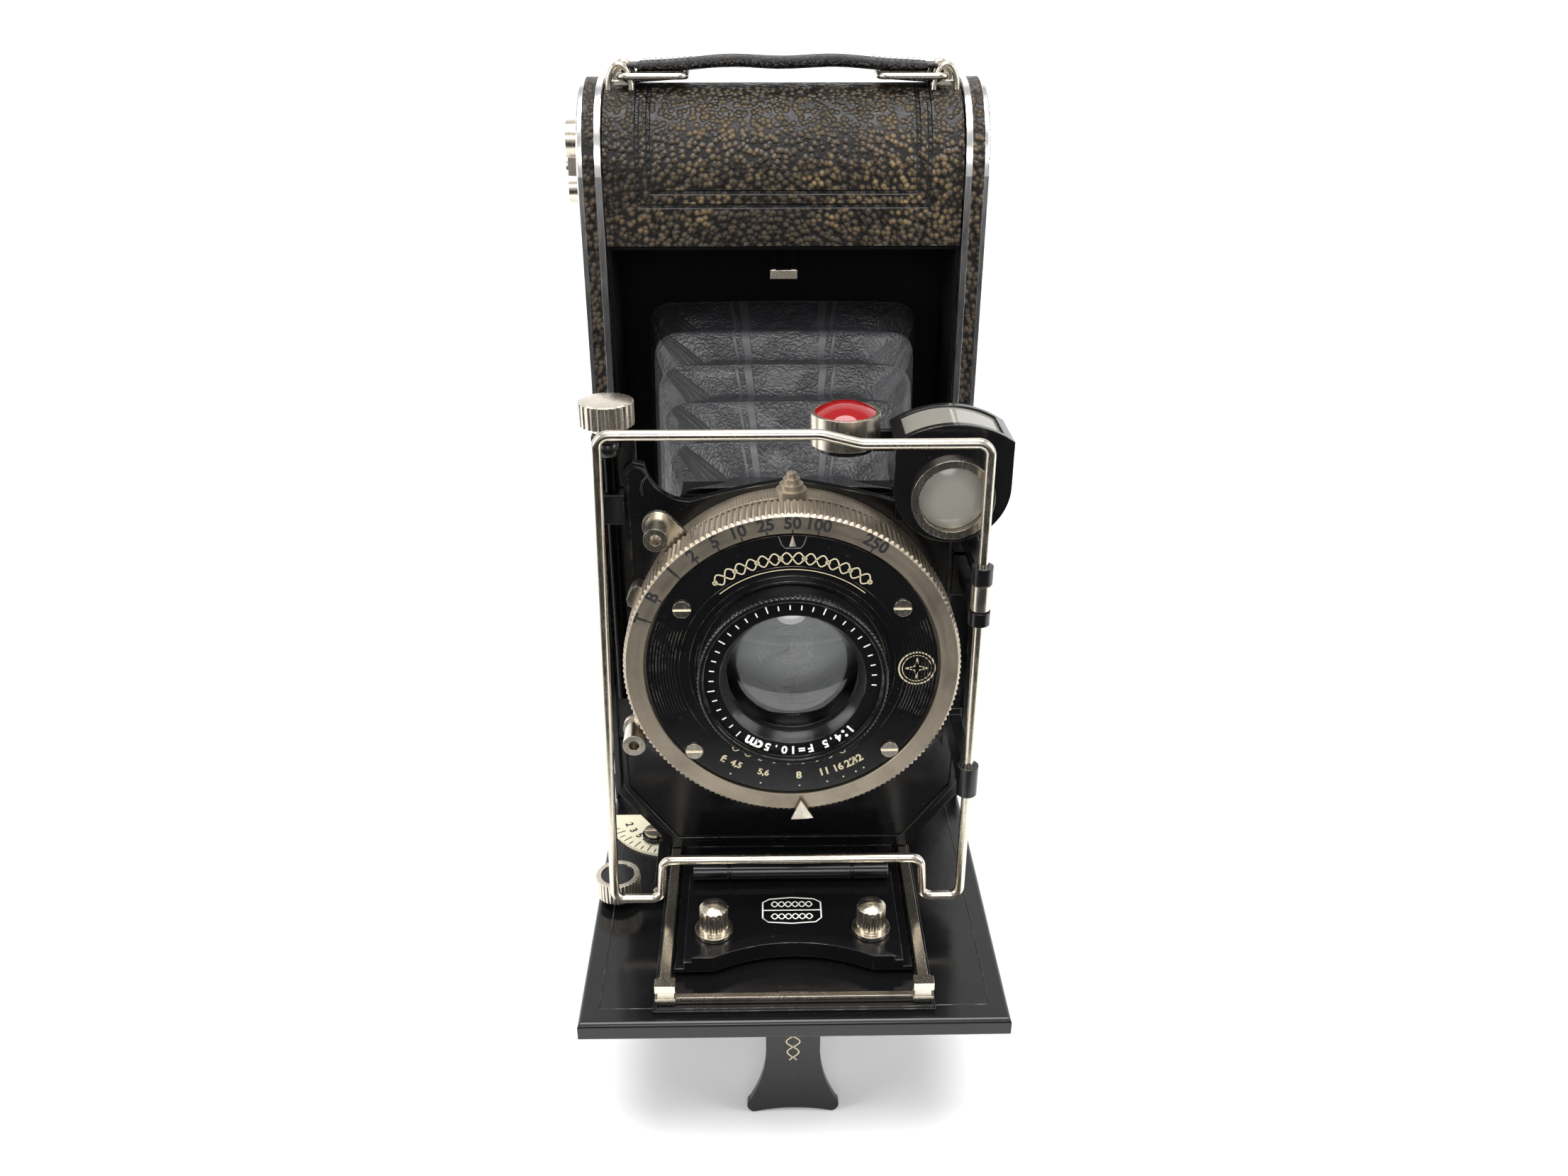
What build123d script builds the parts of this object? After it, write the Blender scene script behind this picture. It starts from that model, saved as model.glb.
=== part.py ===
"""Vertical 6 x 9 cm roll-film folding camera, opened for use, in millimetres.

+X is the camera's right as seen from the front, -Y is the way the lens looks, +Z is up. The origin is the
centre of the base of the object's box. Depths named d_... are measured forwards from the body's front face.
"""

from math import cos, radians, sin
import os

from build123d import *

os.makedirs("parts", exist_ok=True)

# ---- driving dimensions: body
BODY_WIDTH = 80.0
BODY_HEIGHT = 165.0
BODY_DEPTH = 34.0
BACK_PROUD = 1.0
BED_LENGTH = 102.5
FRONT_Y = (BED_LENGTH - BODY_DEPTH - BACK_PROUD) / 2
END_RADIUS = BODY_DEPTH / 2
MID_Y = FRONT_Y + END_RADIUS
SPOOL_LOW_Z = END_RADIUS
SPOOL_HIGH_Z = BODY_HEIGHT - END_RADIUS
HALF_WIDTH = BODY_WIDTH / 2
CAP_INNER_X = 35.25
SHELL_HALF = 35.0
SKIN_INSET = 1.2
SHELL_INSET = 1.7
SHELL_WALL = 1.2
OPENING_LOW = 32.0
OPENING_HIGH = 134.6

# ---- chamber behind the opening, film plane
CHAMBER_WALL = 0.6
CHAMBER_BACK = 22.0
GATE_HALF_X = 29.0
GATE_HALF_Z = 43.0
AXIS_Z = 82.5

# ---- bed, leg and rails
BED_TOP = 31.6
BED_THICK = 3.0
BED_HALF = 35.0
LEG_D = 91.0
LEG_PIN_Z = 26.6
SOCKET_D = 45.0
THREAD_R = 3.97
KEY_ROOM = 4.2
RAIL_INNER = 20.3
RAIL_OUTER = 21.9
RAIL_FRONT_D = 99.0

# ---- standard and lens board
STANDARD_D = 60.3
STANDARD_THICK = 1.7
UPRIGHT_X = 31.5
UPRIGHT_TOP = 117.0
PANEL_D = 62.3
PANEL_THICK = 1.6
KNOB_X = -29.0
KNOB_D = 64.2
CASE_R = 26.1
CASE_FRONT_D = 76.4
RING_R = 27.2
RING_INNER_R = 23.85
LENS_R = 15.05
LENS_FRONT_D = 82.0
RIM_BACK_D = 77.8

# ---- finders
WIRE_D = 80.0
WIRE_R = 0.8
WIRE_HINGE_X = 29.1
FINDER_X = 24.4
FINDER_Z = 113.5
FINDER_BACK_D = 65.2
FINDER_FRONT_D = 76.0
LEVEL_X = 8.2
LEVEL_D = 70.0

# ---- focusing lever
PIVOT_X = -25.9
PIVOT_D = 54.0
LEVER_LENGTH = 18.0
SCALE_X = -22.4
SCALE_D = 46.3
SCALE_R = 12.9
LEVER_ANGLE = 17.0


# ---- helpers
def block(x0, x1, d0, d1, z0, z1):
    """A box from x0 to x1, from depth d0 to d1 in front of the body, and from z0 to z1."""
    return Pos((x0 + x1) / 2, FRONT_Y - (d0 + d1) / 2, (z0 + z1) / 2) * Box(x1 - x0, abs(d1 - d0), z1 - z0)


def rod_y(x, z, r, d0, d1):
    """A round bar along Y, from depth d0 to d1."""
    return Pos(x, FRONT_Y - (d0 + d1) / 2, z) * Rot(90, 0, 0) * Cylinder(r, abs(d1 - d0))


def rod_z(x, d, r, z0, z1):
    """A round bar along Z at depth d."""
    return Pos(x, FRONT_Y - d, (z0 + z1) / 2) * Cylinder(r, z1 - z0)


def rod_x(d, z, r, x0, x1):
    """A round bar along X at depth d."""
    return Pos((x0 + x1) / 2, FRONT_Y - d, z) * Rot(0, 90, 0) * Cylinder(r, x1 - x0)


def stadium(inset, x0, x1):
    """The body's outline, inset all round, from x0 to x1."""
    plane = Plane(origin=(x0, MID_Y, BODY_HEIGHT / 2), x_dir=(0, 0, 1), z_dir=(1, 0, 0))
    outline = SlotCenterToCenter(SPOOL_HIGH_Z - SPOOL_LOW_Z, 2 * (END_RADIUS - inset))
    return extrude(plane * outline, x1 - x0)


def face_plane(d):
    """A plane facing forward at depth d, with x to the right and y up."""
    return Plane(origin=(0, FRONT_Y - d, 0), x_dir=(1, 0, 0), z_dir=(0, -1, 0))


def outline_plate(points, d0, d1):
    """A plate with a straight-sided outline of (x, z) points, from depth d0 to d1."""
    return extrude(face_plane(d0) * make_face(Polyline(points, close=True)), d1 - d0)


def tube_y(x, z, r_out, r_in, d0, d1):
    """A tube along Y."""
    return rod_y(x, z, r_out, d0, d1) - rod_y(x, z, r_in, d0 - 1, d1 + 1)


def fluted(knob, x, y, radius, count, groove, z0, z1):
    """Cuts vertical flutes round a knob that stands along Z."""
    for i in range(count):
        turn = radians(360 * i / count)
        cutter = Pos(x + radius * cos(turn), y + radius * sin(turn), (z0 + z1) / 2)
        knob -= cutter * Cylinder(groove, z1 - z0)
    return knob


def around_axis(angle, radius):
    """(x, z) at an angle in degrees from +X about the lens axis, seen from the front."""
    return radius * cos(radians(angle)), AXIS_Z + radius * sin(radians(angle))


def save(name, shape):
    """Writes one node as parts/NAME.step."""
    if isinstance(shape, (list, tuple)):
        shape = Compound(children=list(shape))
    shape.label = name
    export_step(shape, f"parts/{name}.step")


# ---- body
def make_body():
    """The sheet-metal body, hollow and open in front, with the leather glued round it."""
    shell = stadium(SHELL_INSET, -SHELL_HALF, SHELL_HALF)
    shell -= stadium(SHELL_INSET + SHELL_WALL, -SHELL_HALF - 1, SHELL_HALF + 1)
    opening = block(-HALF_WIDTH, HALF_WIDTH, -END_RADIUS, 5, OPENING_LOW, OPENING_HIGH)
    shell -= opening
    window_hole = rod_y(0, 58, 5.0, -BODY_DEPTH - 1, -BODY_DEPTH + 5)
    shell -= window_hole
    skin = stadium(SKIN_INSET, -SHELL_HALF, SHELL_HALF) - stadium(SHELL_INSET, -HALF_WIDTH, HALF_WIDTH)
    skin -= opening
    skin -= window_hole
    for side in (-1, 1):
        skin -= block(side * 32 - 2.1, side * 32 + 2.1, -END_RADIUS - 2.7, -END_RADIUS + 2.7, 162, 166)
    skin -= rod_y(0, 68, 1.0, -BODY_DEPTH, -BODY_DEPTH + 5)
    save("body_shell", shell)
    bed_low = BED_TOP - BED_THICK
    bed_skin = block(-34.2, 34.2, 4.0, 101.0, bed_low - 0.4, bed_low)
    bed_skin -= rod_z(0, SOCKET_D, 7.0, bed_low - 1, bed_low + 1)
    bed_skin -= block(-7.5, 7.5, LEG_D - 3, LEG_D + 3, bed_low - 1, bed_low + 1)
    save("body_leather", [skin, bed_skin])
    save("window_glass", rod_y(0, 58, 4.95, -BODY_DEPTH + SHELL_INSET, -BODY_DEPTH + 2.7))


def make_cap(side):
    """One end cap: a pan with two bright rims and a leather band between them."""
    name = "left_cap" if side < 0 else "right_cap"
    groove_in, groove_out = 36.45, 38.85
    recess = 39.4

    def slab(inset, a, b):
        return stadium(inset, min(side * a, side * b), max(side * a, side * b))

    cap = slab(0, CAP_INNER_X, HALF_WIDTH)
    outer_edges = [e for e in cap.edges() if abs(abs(e.center().X) - HALF_WIDTH) < 0.01]
    cap = fillet(outer_edges, 0.5)
    cap -= slab(-1, groove_in, groove_out) - slab(0.5, groove_in - 1, groove_out + 1)
    cap -= slab(1.6, recess, HALF_WIDTH + 1)
    cap -= slab(1.4, CAP_INNER_X - 1, recess - 0.8)
    band = slab(0.1, groove_in, groove_out) - slab(0.5, groove_in - 1, groove_out + 1)
    panel = slab(1.6, recess, HALF_WIDTH - 0.2)
    if side < 0:
        for z, r in ((SPOOL_HIGH_Z, 2.05), (AXIS_Z, 6.0)):
            hole = rod_x(-END_RADIUS, z, r, -HALF_WIDTH - 2, -CAP_INNER_X)
            cap -= hole
            panel -= hole
    else:
        hole = rod_x(-END_RADIUS, SPOOL_LOW_Z, 2.05, CAP_INNER_X, HALF_WIDTH + 2)
        cap -= hole
        panel -= hole
    save(name, cap)
    save(name + "_leather", [band, panel])


def make_chamber():
    """The light box behind the opening, with the picture opening in its back."""
    half = SHELL_HALF
    chamber = block(-half, half, -CHAMBER_BACK, -1.75, OPENING_LOW + 0.2, OPENING_HIGH - 0.2)
    inner = half - CHAMBER_WALL
    low, high = OPENING_LOW + 0.2 + CHAMBER_WALL, OPENING_HIGH - 0.2 - CHAMBER_WALL
    chamber -= block(-inner, inner, -CHAMBER_BACK + 0.8, 5, low, high)
    chamber -= block(-GATE_HALF_X, GATE_HALF_X, -CHAMBER_BACK - 1, 0, AXIS_Z - GATE_HALF_Z,
                     AXIS_Z + GATE_HALF_Z)
    for x in (-2.0, 2.0):
        chamber -= rod_z(x, -3.4, 0.57, high - 1, OPENING_HIGH + 1)
    save("chamber", chamber)
    catch = block(-2.7, 2.7, -4.2, -2.5, 127.85, 129.55)
    for x in (-2.0, 2.0):
        catch += rod_z(x, -3.4, 0.5, 129.0, 136.0)
    save("door_catch", catch)
    rails = [block(min(s * RAIL_INNER, s * RAIL_OUTER), max(s * RAIL_INNER, s * RAIL_OUTER), -20.5, -2.0,
                   low, 35.6) for s in (-1, 1)]
    save("body_rails", rails)
    plate = block(-31.0, 31.0, -28.0, -27.2, AXIS_Z - 46, AXIS_Z + 46)
    springs = block(-4, 4, -30.9, -30.5, AXIS_Z - 30, AXIS_Z + 30)
    for z in (AXIS_Z - 28, AXIS_Z + 28):
        springs += block(-4, 4, -30.6, -28.0, z - 1.5, z + 1.5)
    save("pressure_plate", [plate - rod_y(0, 58, 5.0, -29, -26), springs - rod_y(0, 58, 5.2, -32, -29)])


def make_back_fittings():
    """The red window's cover with its rivet, and the focus lever's screw."""
    cover_d = -BODY_DEPTH + SKIN_INSET - 0.15
    cover = rod_y(0, 58, 6.6, cover_d - 0.8, cover_d)
    cover += block(-2.5, 2.5, cover_d - 0.8, cover_d, 58, 68)
    cover += rod_y(0, 68, 2.5, cover_d - 0.8, cover_d)
    cover += block(-0.5, 0.5, -BODY_DEPTH - BACK_PROUD, cover_d - 0.7, 54.5, 61.5)
    cover -= rod_y(0, 68, 0.95, -BODY_DEPTH - 3, -BODY_DEPTH + 5)
    save("window_cover", cover)
    rivet = rod_y(0, 68, 0.9, -BODY_DEPTH - 0.7, -BODY_DEPTH + SHELL_INSET)
    rivet += rod_y(0, 68, 1.7, -BODY_DEPTH - BACK_PROUD + 0.1, -BODY_DEPTH - 0.3)
    screw = rod_z(PIVOT_X, PIVOT_D, 1.3, BED_TOP, BED_TOP + 1.9)
    screw += rod_z(PIVOT_X, PIVOT_D, 2.0, BED_TOP + 1.9, BED_TOP + 2.5)
    screw -= block(PIVOT_X - 3, PIVOT_X + 3, PIVOT_D - 0.3, PIVOT_D + 0.3, BED_TOP + 2.2, BED_TOP + 3)
    save("pivot_rivets", [rivet, screw])


# ---- strap handle
def make_strap():
    """The carrying strap, and the wire loops and lugs that hold its two ends on top of the body."""
    lugs, loops = [], []
    wire = 0.65
    loop_z = 165.4
    reach = 6.4
    for side in (-1, 1):
        x = side * 32.0
        lug = block(x - 2.0, x + 2.0, -END_RADIUS - 2.6, -END_RADIUS + 2.6, 163.3, 164.3)
        lug += rod_y(x, loop_z, 1.7, -END_RADIUS - 2.0, -END_RADIUS + 2.0)
        lug += block(x - 1.4, x + 1.4, -END_RADIUS - 2.0, -END_RADIUS + 2.0, 164.0, loop_z)
        lug -= rod_y(x, loop_z, wire + 0.06, -END_RADIUS - 5, -END_RADIUS + 5)
        lugs.append(lug)
        loop_path = FilletPolyline(
            (x, MID_Y - reach, loop_z), (x - side * 13, MID_Y - reach, loop_z),
            (x - side * 13, MID_Y + reach, loop_z), (x, MID_Y + reach, loop_z), radius=1.6, close=True)
        start = Plane(origin=loop_path @ 0, z_dir=loop_path % 0)
        loops.append(sweep(start * Circle(wire), path=loop_path))
    save("strap_fittings", lugs + loops)
    bow = Polyline((-30, 166.2), (-18, 167.3), (18, 167.3), (30, 166.2), (30, 167.6), (18, 168.9),
                   (-18, 168.9), (-30, 167.6), close=True)
    leather = extrude(face_plane(-END_RADIUS - 5.2) * make_face(bow), 10.4)
    save("strap", leather)


# ---- winding key, end cap catch, peep sight, sockets
def make_key():
    """The winding key with its two lobes, and the blade that enters the take-up spool's slot."""
    shaft = rod_x(-END_RADIUS, SPOOL_HIGH_Z, 2.0, -41.0, -33.6)
    blade = Pos(-32.6, MID_Y, SPOOL_HIGH_Z) * Box(2.4, 1.2, 3.6)
    key = rod_x(-END_RADIUS, SPOOL_HIGH_Z, 5.6, -41.0, -40.3)
    wing = Pos(-42.4, MID_Y, SPOOL_HIGH_Z + 5.0) * Rot(0, 90, 0) * Cylinder(3.9, 2.4)
    wing += Pos(-42.4, MID_Y, SPOOL_HIGH_Z - 4.4) * Rot(0, 90, 0) * Cylinder(3.4, 2.4)
    wing += Pos(-42.4, MID_Y, SPOOL_HIGH_Z) * Box(2.4, 4.4, 10.0)
    wing -= Pos(-42.4, MID_Y, SPOOL_HIGH_Z + 5.4) * Rot(0, 90, 0) * Cylinder(1.5, 4.0)
    post = rod_x(-END_RADIUS, SPOOL_HIGH_Z, 2.2, -44.0, -40.9)
    save("winding_key", key + wing + post + shaft + blade)


def make_side_fittings():
    """The end cap catch and the folding rear sight. Returns the side tripod socket."""
    catch = rod_x(-END_RADIUS, SPOOL_LOW_Z, 5.0, 40.3, 41.6)
    catch += Pos(42.8, MID_Y, SPOOL_LOW_Z) * Box(2.4, 9.0, 2.2)
    catch += rod_x(-END_RADIUS, SPOOL_LOW_Z, 2.0, 36.5, 40.5)
    save("cap_catch", catch)
    hinge_y = MID_Y + 11.0
    leaf = Pos(40.95, MID_Y + 0.5, AXIS_Z) * Box(0.7, 19.0, 8.0)
    leaf += Pos(41.2, hinge_y, AXIS_Z) * Cylinder(1.1, 8.0)
    leaf -= Pos(41.2, hinge_y, AXIS_Z) * Cylinder(0.55, 12.0)
    leaf -= Pos(40.95, MID_Y - 4.0, AXIS_Z) * Rot(0, 90, 0) * Cylinder(1.2, 3.0)
    save("peep_sight", leaf)
    bracket = Pos(41.2, hinge_y, AXIS_Z) * Cylinder(0.5, 11.6)
    for dz in (-5.2, 5.2):
        bracket += Pos(41.2, hinge_y, AXIS_Z + dz) * Cylinder(1.1, 1.6)
        bracket += Pos(40.3, hinge_y + 0.6, AXIS_Z + dz) * Box(1.0, 2.4, 1.6)
    save("peep_bracket", bracket)
    socket = rod_x(-END_RADIUS, AXIS_Z, 6.0, -HALF_WIDTH, -35.4)
    socket -= rod_x(-END_RADIUS, AXIS_Z, THREAD_R, -HALF_WIDTH - 1, -36.2)
    return socket


# ---- film carrier
def make_carrier():
    """The film carrier that slides out of the right side, with its rollers, spindles and two spools."""
    keep = block(-40, 40, -26.2, -2.9, 0, BODY_HEIGHT)
    chamber_room = block(-50, 50, -CHAMBER_BACK - 0.4, 5, OPENING_LOW - 0.1, OPENING_HIGH + 0.3)
    frame = None
    for x0, x1 in ((-34.3, -33.5), (33.6, 35.3)):
        plate = (stadium(3.2, x0, x1) & keep) - chamber_room
        if x0 < 0:
            plate -= block(x0 - 1, x1 + 1, -30, 0, SPOOL_HIGH_Z - KEY_ROOM, BODY_HEIGHT)
        for z in (SPOOL_LOW_Z, SPOOL_HIGH_Z):
            plate -= rod_x(-END_RADIUS, z, 3.0, x0 - 1, x1 + 1)
        frame = plate if frame is None else frame + plate
    gate_d = CHAMBER_BACK + 0.5
    gate = block(-34.0, 34.0, -gate_d - 0.9, -gate_d, 30.0, 137.0)
    gate -= block(-GATE_HALF_X + 1, GATE_HALF_X - 1, -gate_d - 2, -gate_d + 1, AXIS_Z - 42, AXIS_Z + 42)
    frame += gate
    for z in (27, 138):
        for d in (-10, -24):
            frame += rod_x(d, z, 1.8, 35.2, 38.6)
    save("carrier_frame", frame)
    rollers = [rod_x(-24.8, z, 1.2, -33.4, 33.5) for z in (28.8, 136.2)]
    for name, z in (("supply_spool", SPOOL_LOW_Z), ("takeup_spool", SPOOL_HIGH_Z)):
        spool = rod_x(-END_RADIUS, z, 5.6, -32.4, 32.4)
        for side in (-1, 1):
            x = side * 32.0
            spool += rod_x(-END_RADIUS, z, 12.3, x - 0.6, x + 0.6)
        spool -= rod_x(-END_RADIUS, z, 1.6, -34, 34)
        spool -= Pos(-32.0, MID_Y, z) * Box(4.4, 1.8, 4.4)
        save(name, spool)
    pins = [rod_x(-END_RADIUS, z, 1.5, 30.0, 36.0) + rod_x(-END_RADIUS, z, 3.4, 35.35, 36.2)
            for z in (SPOOL_LOW_Z, SPOOL_HIGH_Z)]
    pins.append(rod_x(-END_RADIUS, SPOOL_LOW_Z, 1.5, -34.9, -30.0)
                + rod_x(-END_RADIUS, SPOOL_LOW_Z, 3.4, -34.9, -34.35))
    save("carrier_spindles", rollers + pins)


# ---- bed
def make_bed(side_socket):
    """The drop bed with its socket, the rail base on it, and the folding struts that hold it level."""
    low = BED_TOP - BED_THICK
    bed = block(-BED_HALF, BED_HALF, -0.9, BED_LENGTH, low, BED_TOP)
    tops = [e for e in bed.edges() if e.center().Z > BED_TOP - 0.01 and e.center().Y < FRONT_Y]
    bed = fillet(tops, 0.8)
    bed += rod_x(1.4, low + 0.6, 1.6, -BED_HALF, BED_HALF)
    bed -= rod_x(1.4, low + 0.6, 0.86, -BED_HALF - 1, BED_HALF + 1)
    bed -= rod_z(0, SOCKET_D, 5.6, low - 1, BED_TOP - 0.4)
    save("bed_plate", bed)
    socket = rod_z(0, SOCKET_D, 7.0, low - 3.4, low) + rod_z(0, SOCKET_D, 5.6, low, BED_TOP - 0.4)
    socket -= rod_z(0, SOCKET_D, THREAD_R, low - 4, BED_TOP - 1.0)
    save("tripod_sockets", [socket, side_socket])
    base = block(-22.9, 22.9, 4.0, 100.6, BED_TOP, BED_TOP + 0.8)
    base += block(-2.6, 2.6, 95.6, 97.0, BED_TOP + 0.8, BED_TOP + 1.4)
    save("rail_base", base)
    struts, screws = [], []
    for side in (-1, 1):
        x0, x1 = sorted((side * 34.05, side * 34.35))
        plane = Plane(origin=(x1, FRONT_Y, 0), x_dir=(0, -1, 0), z_dir=(-1, 0, 0))
        bar = make_face(Polyline((-2.0, 70), (36, 34.2), (39, 34.2), (39, 37.4), (1.2, 73), (-2.0, 73),
                                 close=True))
        struts.append(extrude(plane * bar, x1 - x0))
        inner = side * 33.6
        head0, head1 = sorted((inner, side * 34.05))
        screws.append(rod_x(37.2, 35.9, 1.3, head0, head1))
        tab0, tab1 = sorted((side * 34.35, side * 34.9))
        screws.append(block(tab0, tab1, 34.5, 40.0, BED_TOP, 37.4))
    save("bed_struts", struts + screws)


def make_leg():
    """The folding leg below the bed's front edge, its ears, and the pins of the leg and of the bed."""
    low = BED_TOP - BED_THICK
    ears = []
    for side in (-1, 1):
        x0, x1 = sorted((side * 5.3, side * 6.3))
        ear = block(x0, x1, LEG_D - 2.0, LEG_D + 2.0, LEG_PIN_Z - 1.8, low)
        ears.append(ear - rod_x(LEG_D, LEG_PIN_Z, 0.75, x0 - 1, x1 + 1))
    leg_pin = rod_x(LEG_D, LEG_PIN_Z, 0.7, -6.8, 6.8)
    bed_pin = rod_x(1.4, low + 0.6, 0.8, -BED_HALF - 0.15, BED_HALF - 0.05)
    save("bed_hinge_fittings", ears + [leg_pin, bed_pin])
    neck, foot = 4.7, 8.1
    right = [Line((neck, LEG_PIN_Z), (neck, 16)),
             ThreePointArc((neck, 16), (5.5, 8.5), (foot - 0.5, 3.0)),
             ThreePointArc((foot - 0.5, 3.0), (foot, 1.4), (foot - 1.1, 0.1)),
             ThreePointArc((foot - 1.1, 0.1), (0, 1.0), (-foot + 1.1, 0.1)),
             ThreePointArc((-foot + 1.1, 0.1), (-foot, 1.4), (-foot + 0.5, 3.0)),
             ThreePointArc((-foot + 0.5, 3.0), (-5.5, 8.5), (-neck, 16)),
             Line((-neck, 16), (-neck, LEG_PIN_Z)),
             Line((-neck, LEG_PIN_Z), (neck, LEG_PIN_Z))]
    leg = extrude(face_plane(LEG_D - 0.6) * make_face(Wire(right)), 1.2)
    leg += rod_x(LEG_D, LEG_PIN_Z, 1.4, -neck, neck)
    leg -= rod_x(LEG_D, LEG_PIN_Z, 0.76, -8, 8)
    save("stand_leg", leg)


# ---- focusing
def make_focus():
    """The focusing rail, and the lever, knob and distance scale that move and show it."""
    rail = None
    for side in (-1, 1):
        x0, x1 = sorted((side * RAIL_INNER, side * RAIL_OUTER))
        strip = block(x0, x1, 3.0, RAIL_FRONT_D, BED_TOP + 1.0, 35.8)
        rail = strip if rail is None else rail + strip
        corner0, corner1 = sorted((side * (RAIL_OUTER - 2.4), side * (RAIL_OUTER + 0.3)))
        rail += block(corner0, corner1, RAIL_FRONT_D - 2.2, RAIL_FRONT_D + 0.3, BED_TOP + 1.0, 36.1)
    rail += block(-RAIL_OUTER, RAIL_OUTER, RAIL_FRONT_D - 1.0, RAIL_FRONT_D, BED_TOP + 1.0, 33.8)
    rail += block(-RAIL_INNER, RAIL_INNER, 3.0, 5.0, BED_TOP + 1.0, 33.0)
    save("focus_rail", rail)
    scale = rod_z(SCALE_X, SCALE_D, SCALE_R, BED_TOP, BED_TOP + 0.6)
    scale &= block(-34.6, -23.1, SCALE_D, SCALE_D + SCALE_R, BED_TOP, BED_TOP + 1)
    scale -= rod_z(PIVOT_X, PIVOT_D, 2.0, BED_TOP - 1, BED_TOP + 3)
    save("distance_scale", scale)
    turn = radians(LEVER_ANGLE)
    knob_x = PIVOT_X - LEVER_LENGTH * sin(turn)
    knob_d = PIVOT_D + LEVER_LENGTH * cos(turn)
    low, high = BED_TOP + 1.05, BED_TOP + 1.75
    arm_right = -22.8
    arm = block(PIVOT_X, arm_right, PIVOT_D - 1.6, PIVOT_D + 1.6, low, high)
    arm += block(arm_right - 2.1, arm_right, PIVOT_D - 1.6, knob_d + 1.6, low, high)
    arm += block(knob_x, arm_right, knob_d - 1.8, knob_d + 1.6, low, high)
    arm += rod_z(PIVOT_X, PIVOT_D, 2.4, low, high)
    arm += rod_z(knob_x, knob_d, 2.8, low, high)
    arm -= rod_z(PIVOT_X, PIVOT_D, 1.35, BED_TOP, BED_TOP + 3)
    inlay = rod_z(knob_x, knob_d, 3.0, 36.5, 36.9)
    save("focus_lever", [arm, inlay])
    knob = rod_z(knob_x, knob_d, 4.0, BED_TOP + 1.75, 37.1)
    knob = fluted(knob, knob_x, FRONT_Y - knob_d, 4.15, 36, 0.32, BED_TOP + 1, 38)
    knob -= rod_z(knob_x, knob_d, 3.0, 36.5, 38)
    save("focus_knob", knob)


# ---- standard
def make_carriage():
    """The carriage that rides on the rail, and the two grips that are squeezed to free it."""
    plate = block(-19.9, 19.9, 60.3, 92.5, 33.35, 34.0) + block(-18.3, 18.3, 69.0, 92.5, 34.0, 35.4)
    front_bow = rod_z(0, 116.0, 27.0, 30, 40)
    lip = (rod_z(0, 116.0, 29.0, 34.0, 36.3) - front_bow) & block(-18.3, 18.3, 84, 92.5, 30, 40)
    plate = (plate - front_bow) + lip
    slots = []
    for side in (-1, 1):
        inner, outer = side * 11.4, side * 13.4
        slots.append(block(min(inner, outer), max(inner, outer), 83.6, 86.4, 30, 40))
        slots.append(rod_z(inner, 85.0, 1.4, 30, 40))
        slots.append(rod_z(outer, 85.0, 1.4, 30, 40))
    for slot in slots:
        plate -= slot
    plate += block(-19.0, 19.0, 60.3, 62.0, 33.35, 36.0)
    tube = rod_x(70.6, 37.1, 1.7, -17.5, 17.5)
    for x in (-11.0, 11.0):
        tube -= rod_x(70.6, 37.1, 3.0, x - 0.3, x + 0.3) - rod_x(70.6, 37.1, 1.4, x - 1, x + 1)
    save("carriage", [plate, tube])
    for side, name in ((-1, "left_grip"), (1, "right_grip")):
        x = side * 13.4
        grip = rod_z(x, 85.0, 3.25, 35.55, 36.3)
        post = rod_z(x, 85.0, 2.45, 36.3, 40.6)
        post = fluted(post, x, FRONT_Y - 85.0, 2.62, 16, 0.36, 36.8, 42)
        dome = Pos(x, FRONT_Y - 85.0, 37.6) * Sphere(3.9) & rod_z(x, 85.0, 2.35, 40.0, 42)
        grip += post + dome + rod_z(x, 85.0, 1.15, 34.1, 35.6)
        save(name, grip)


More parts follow.
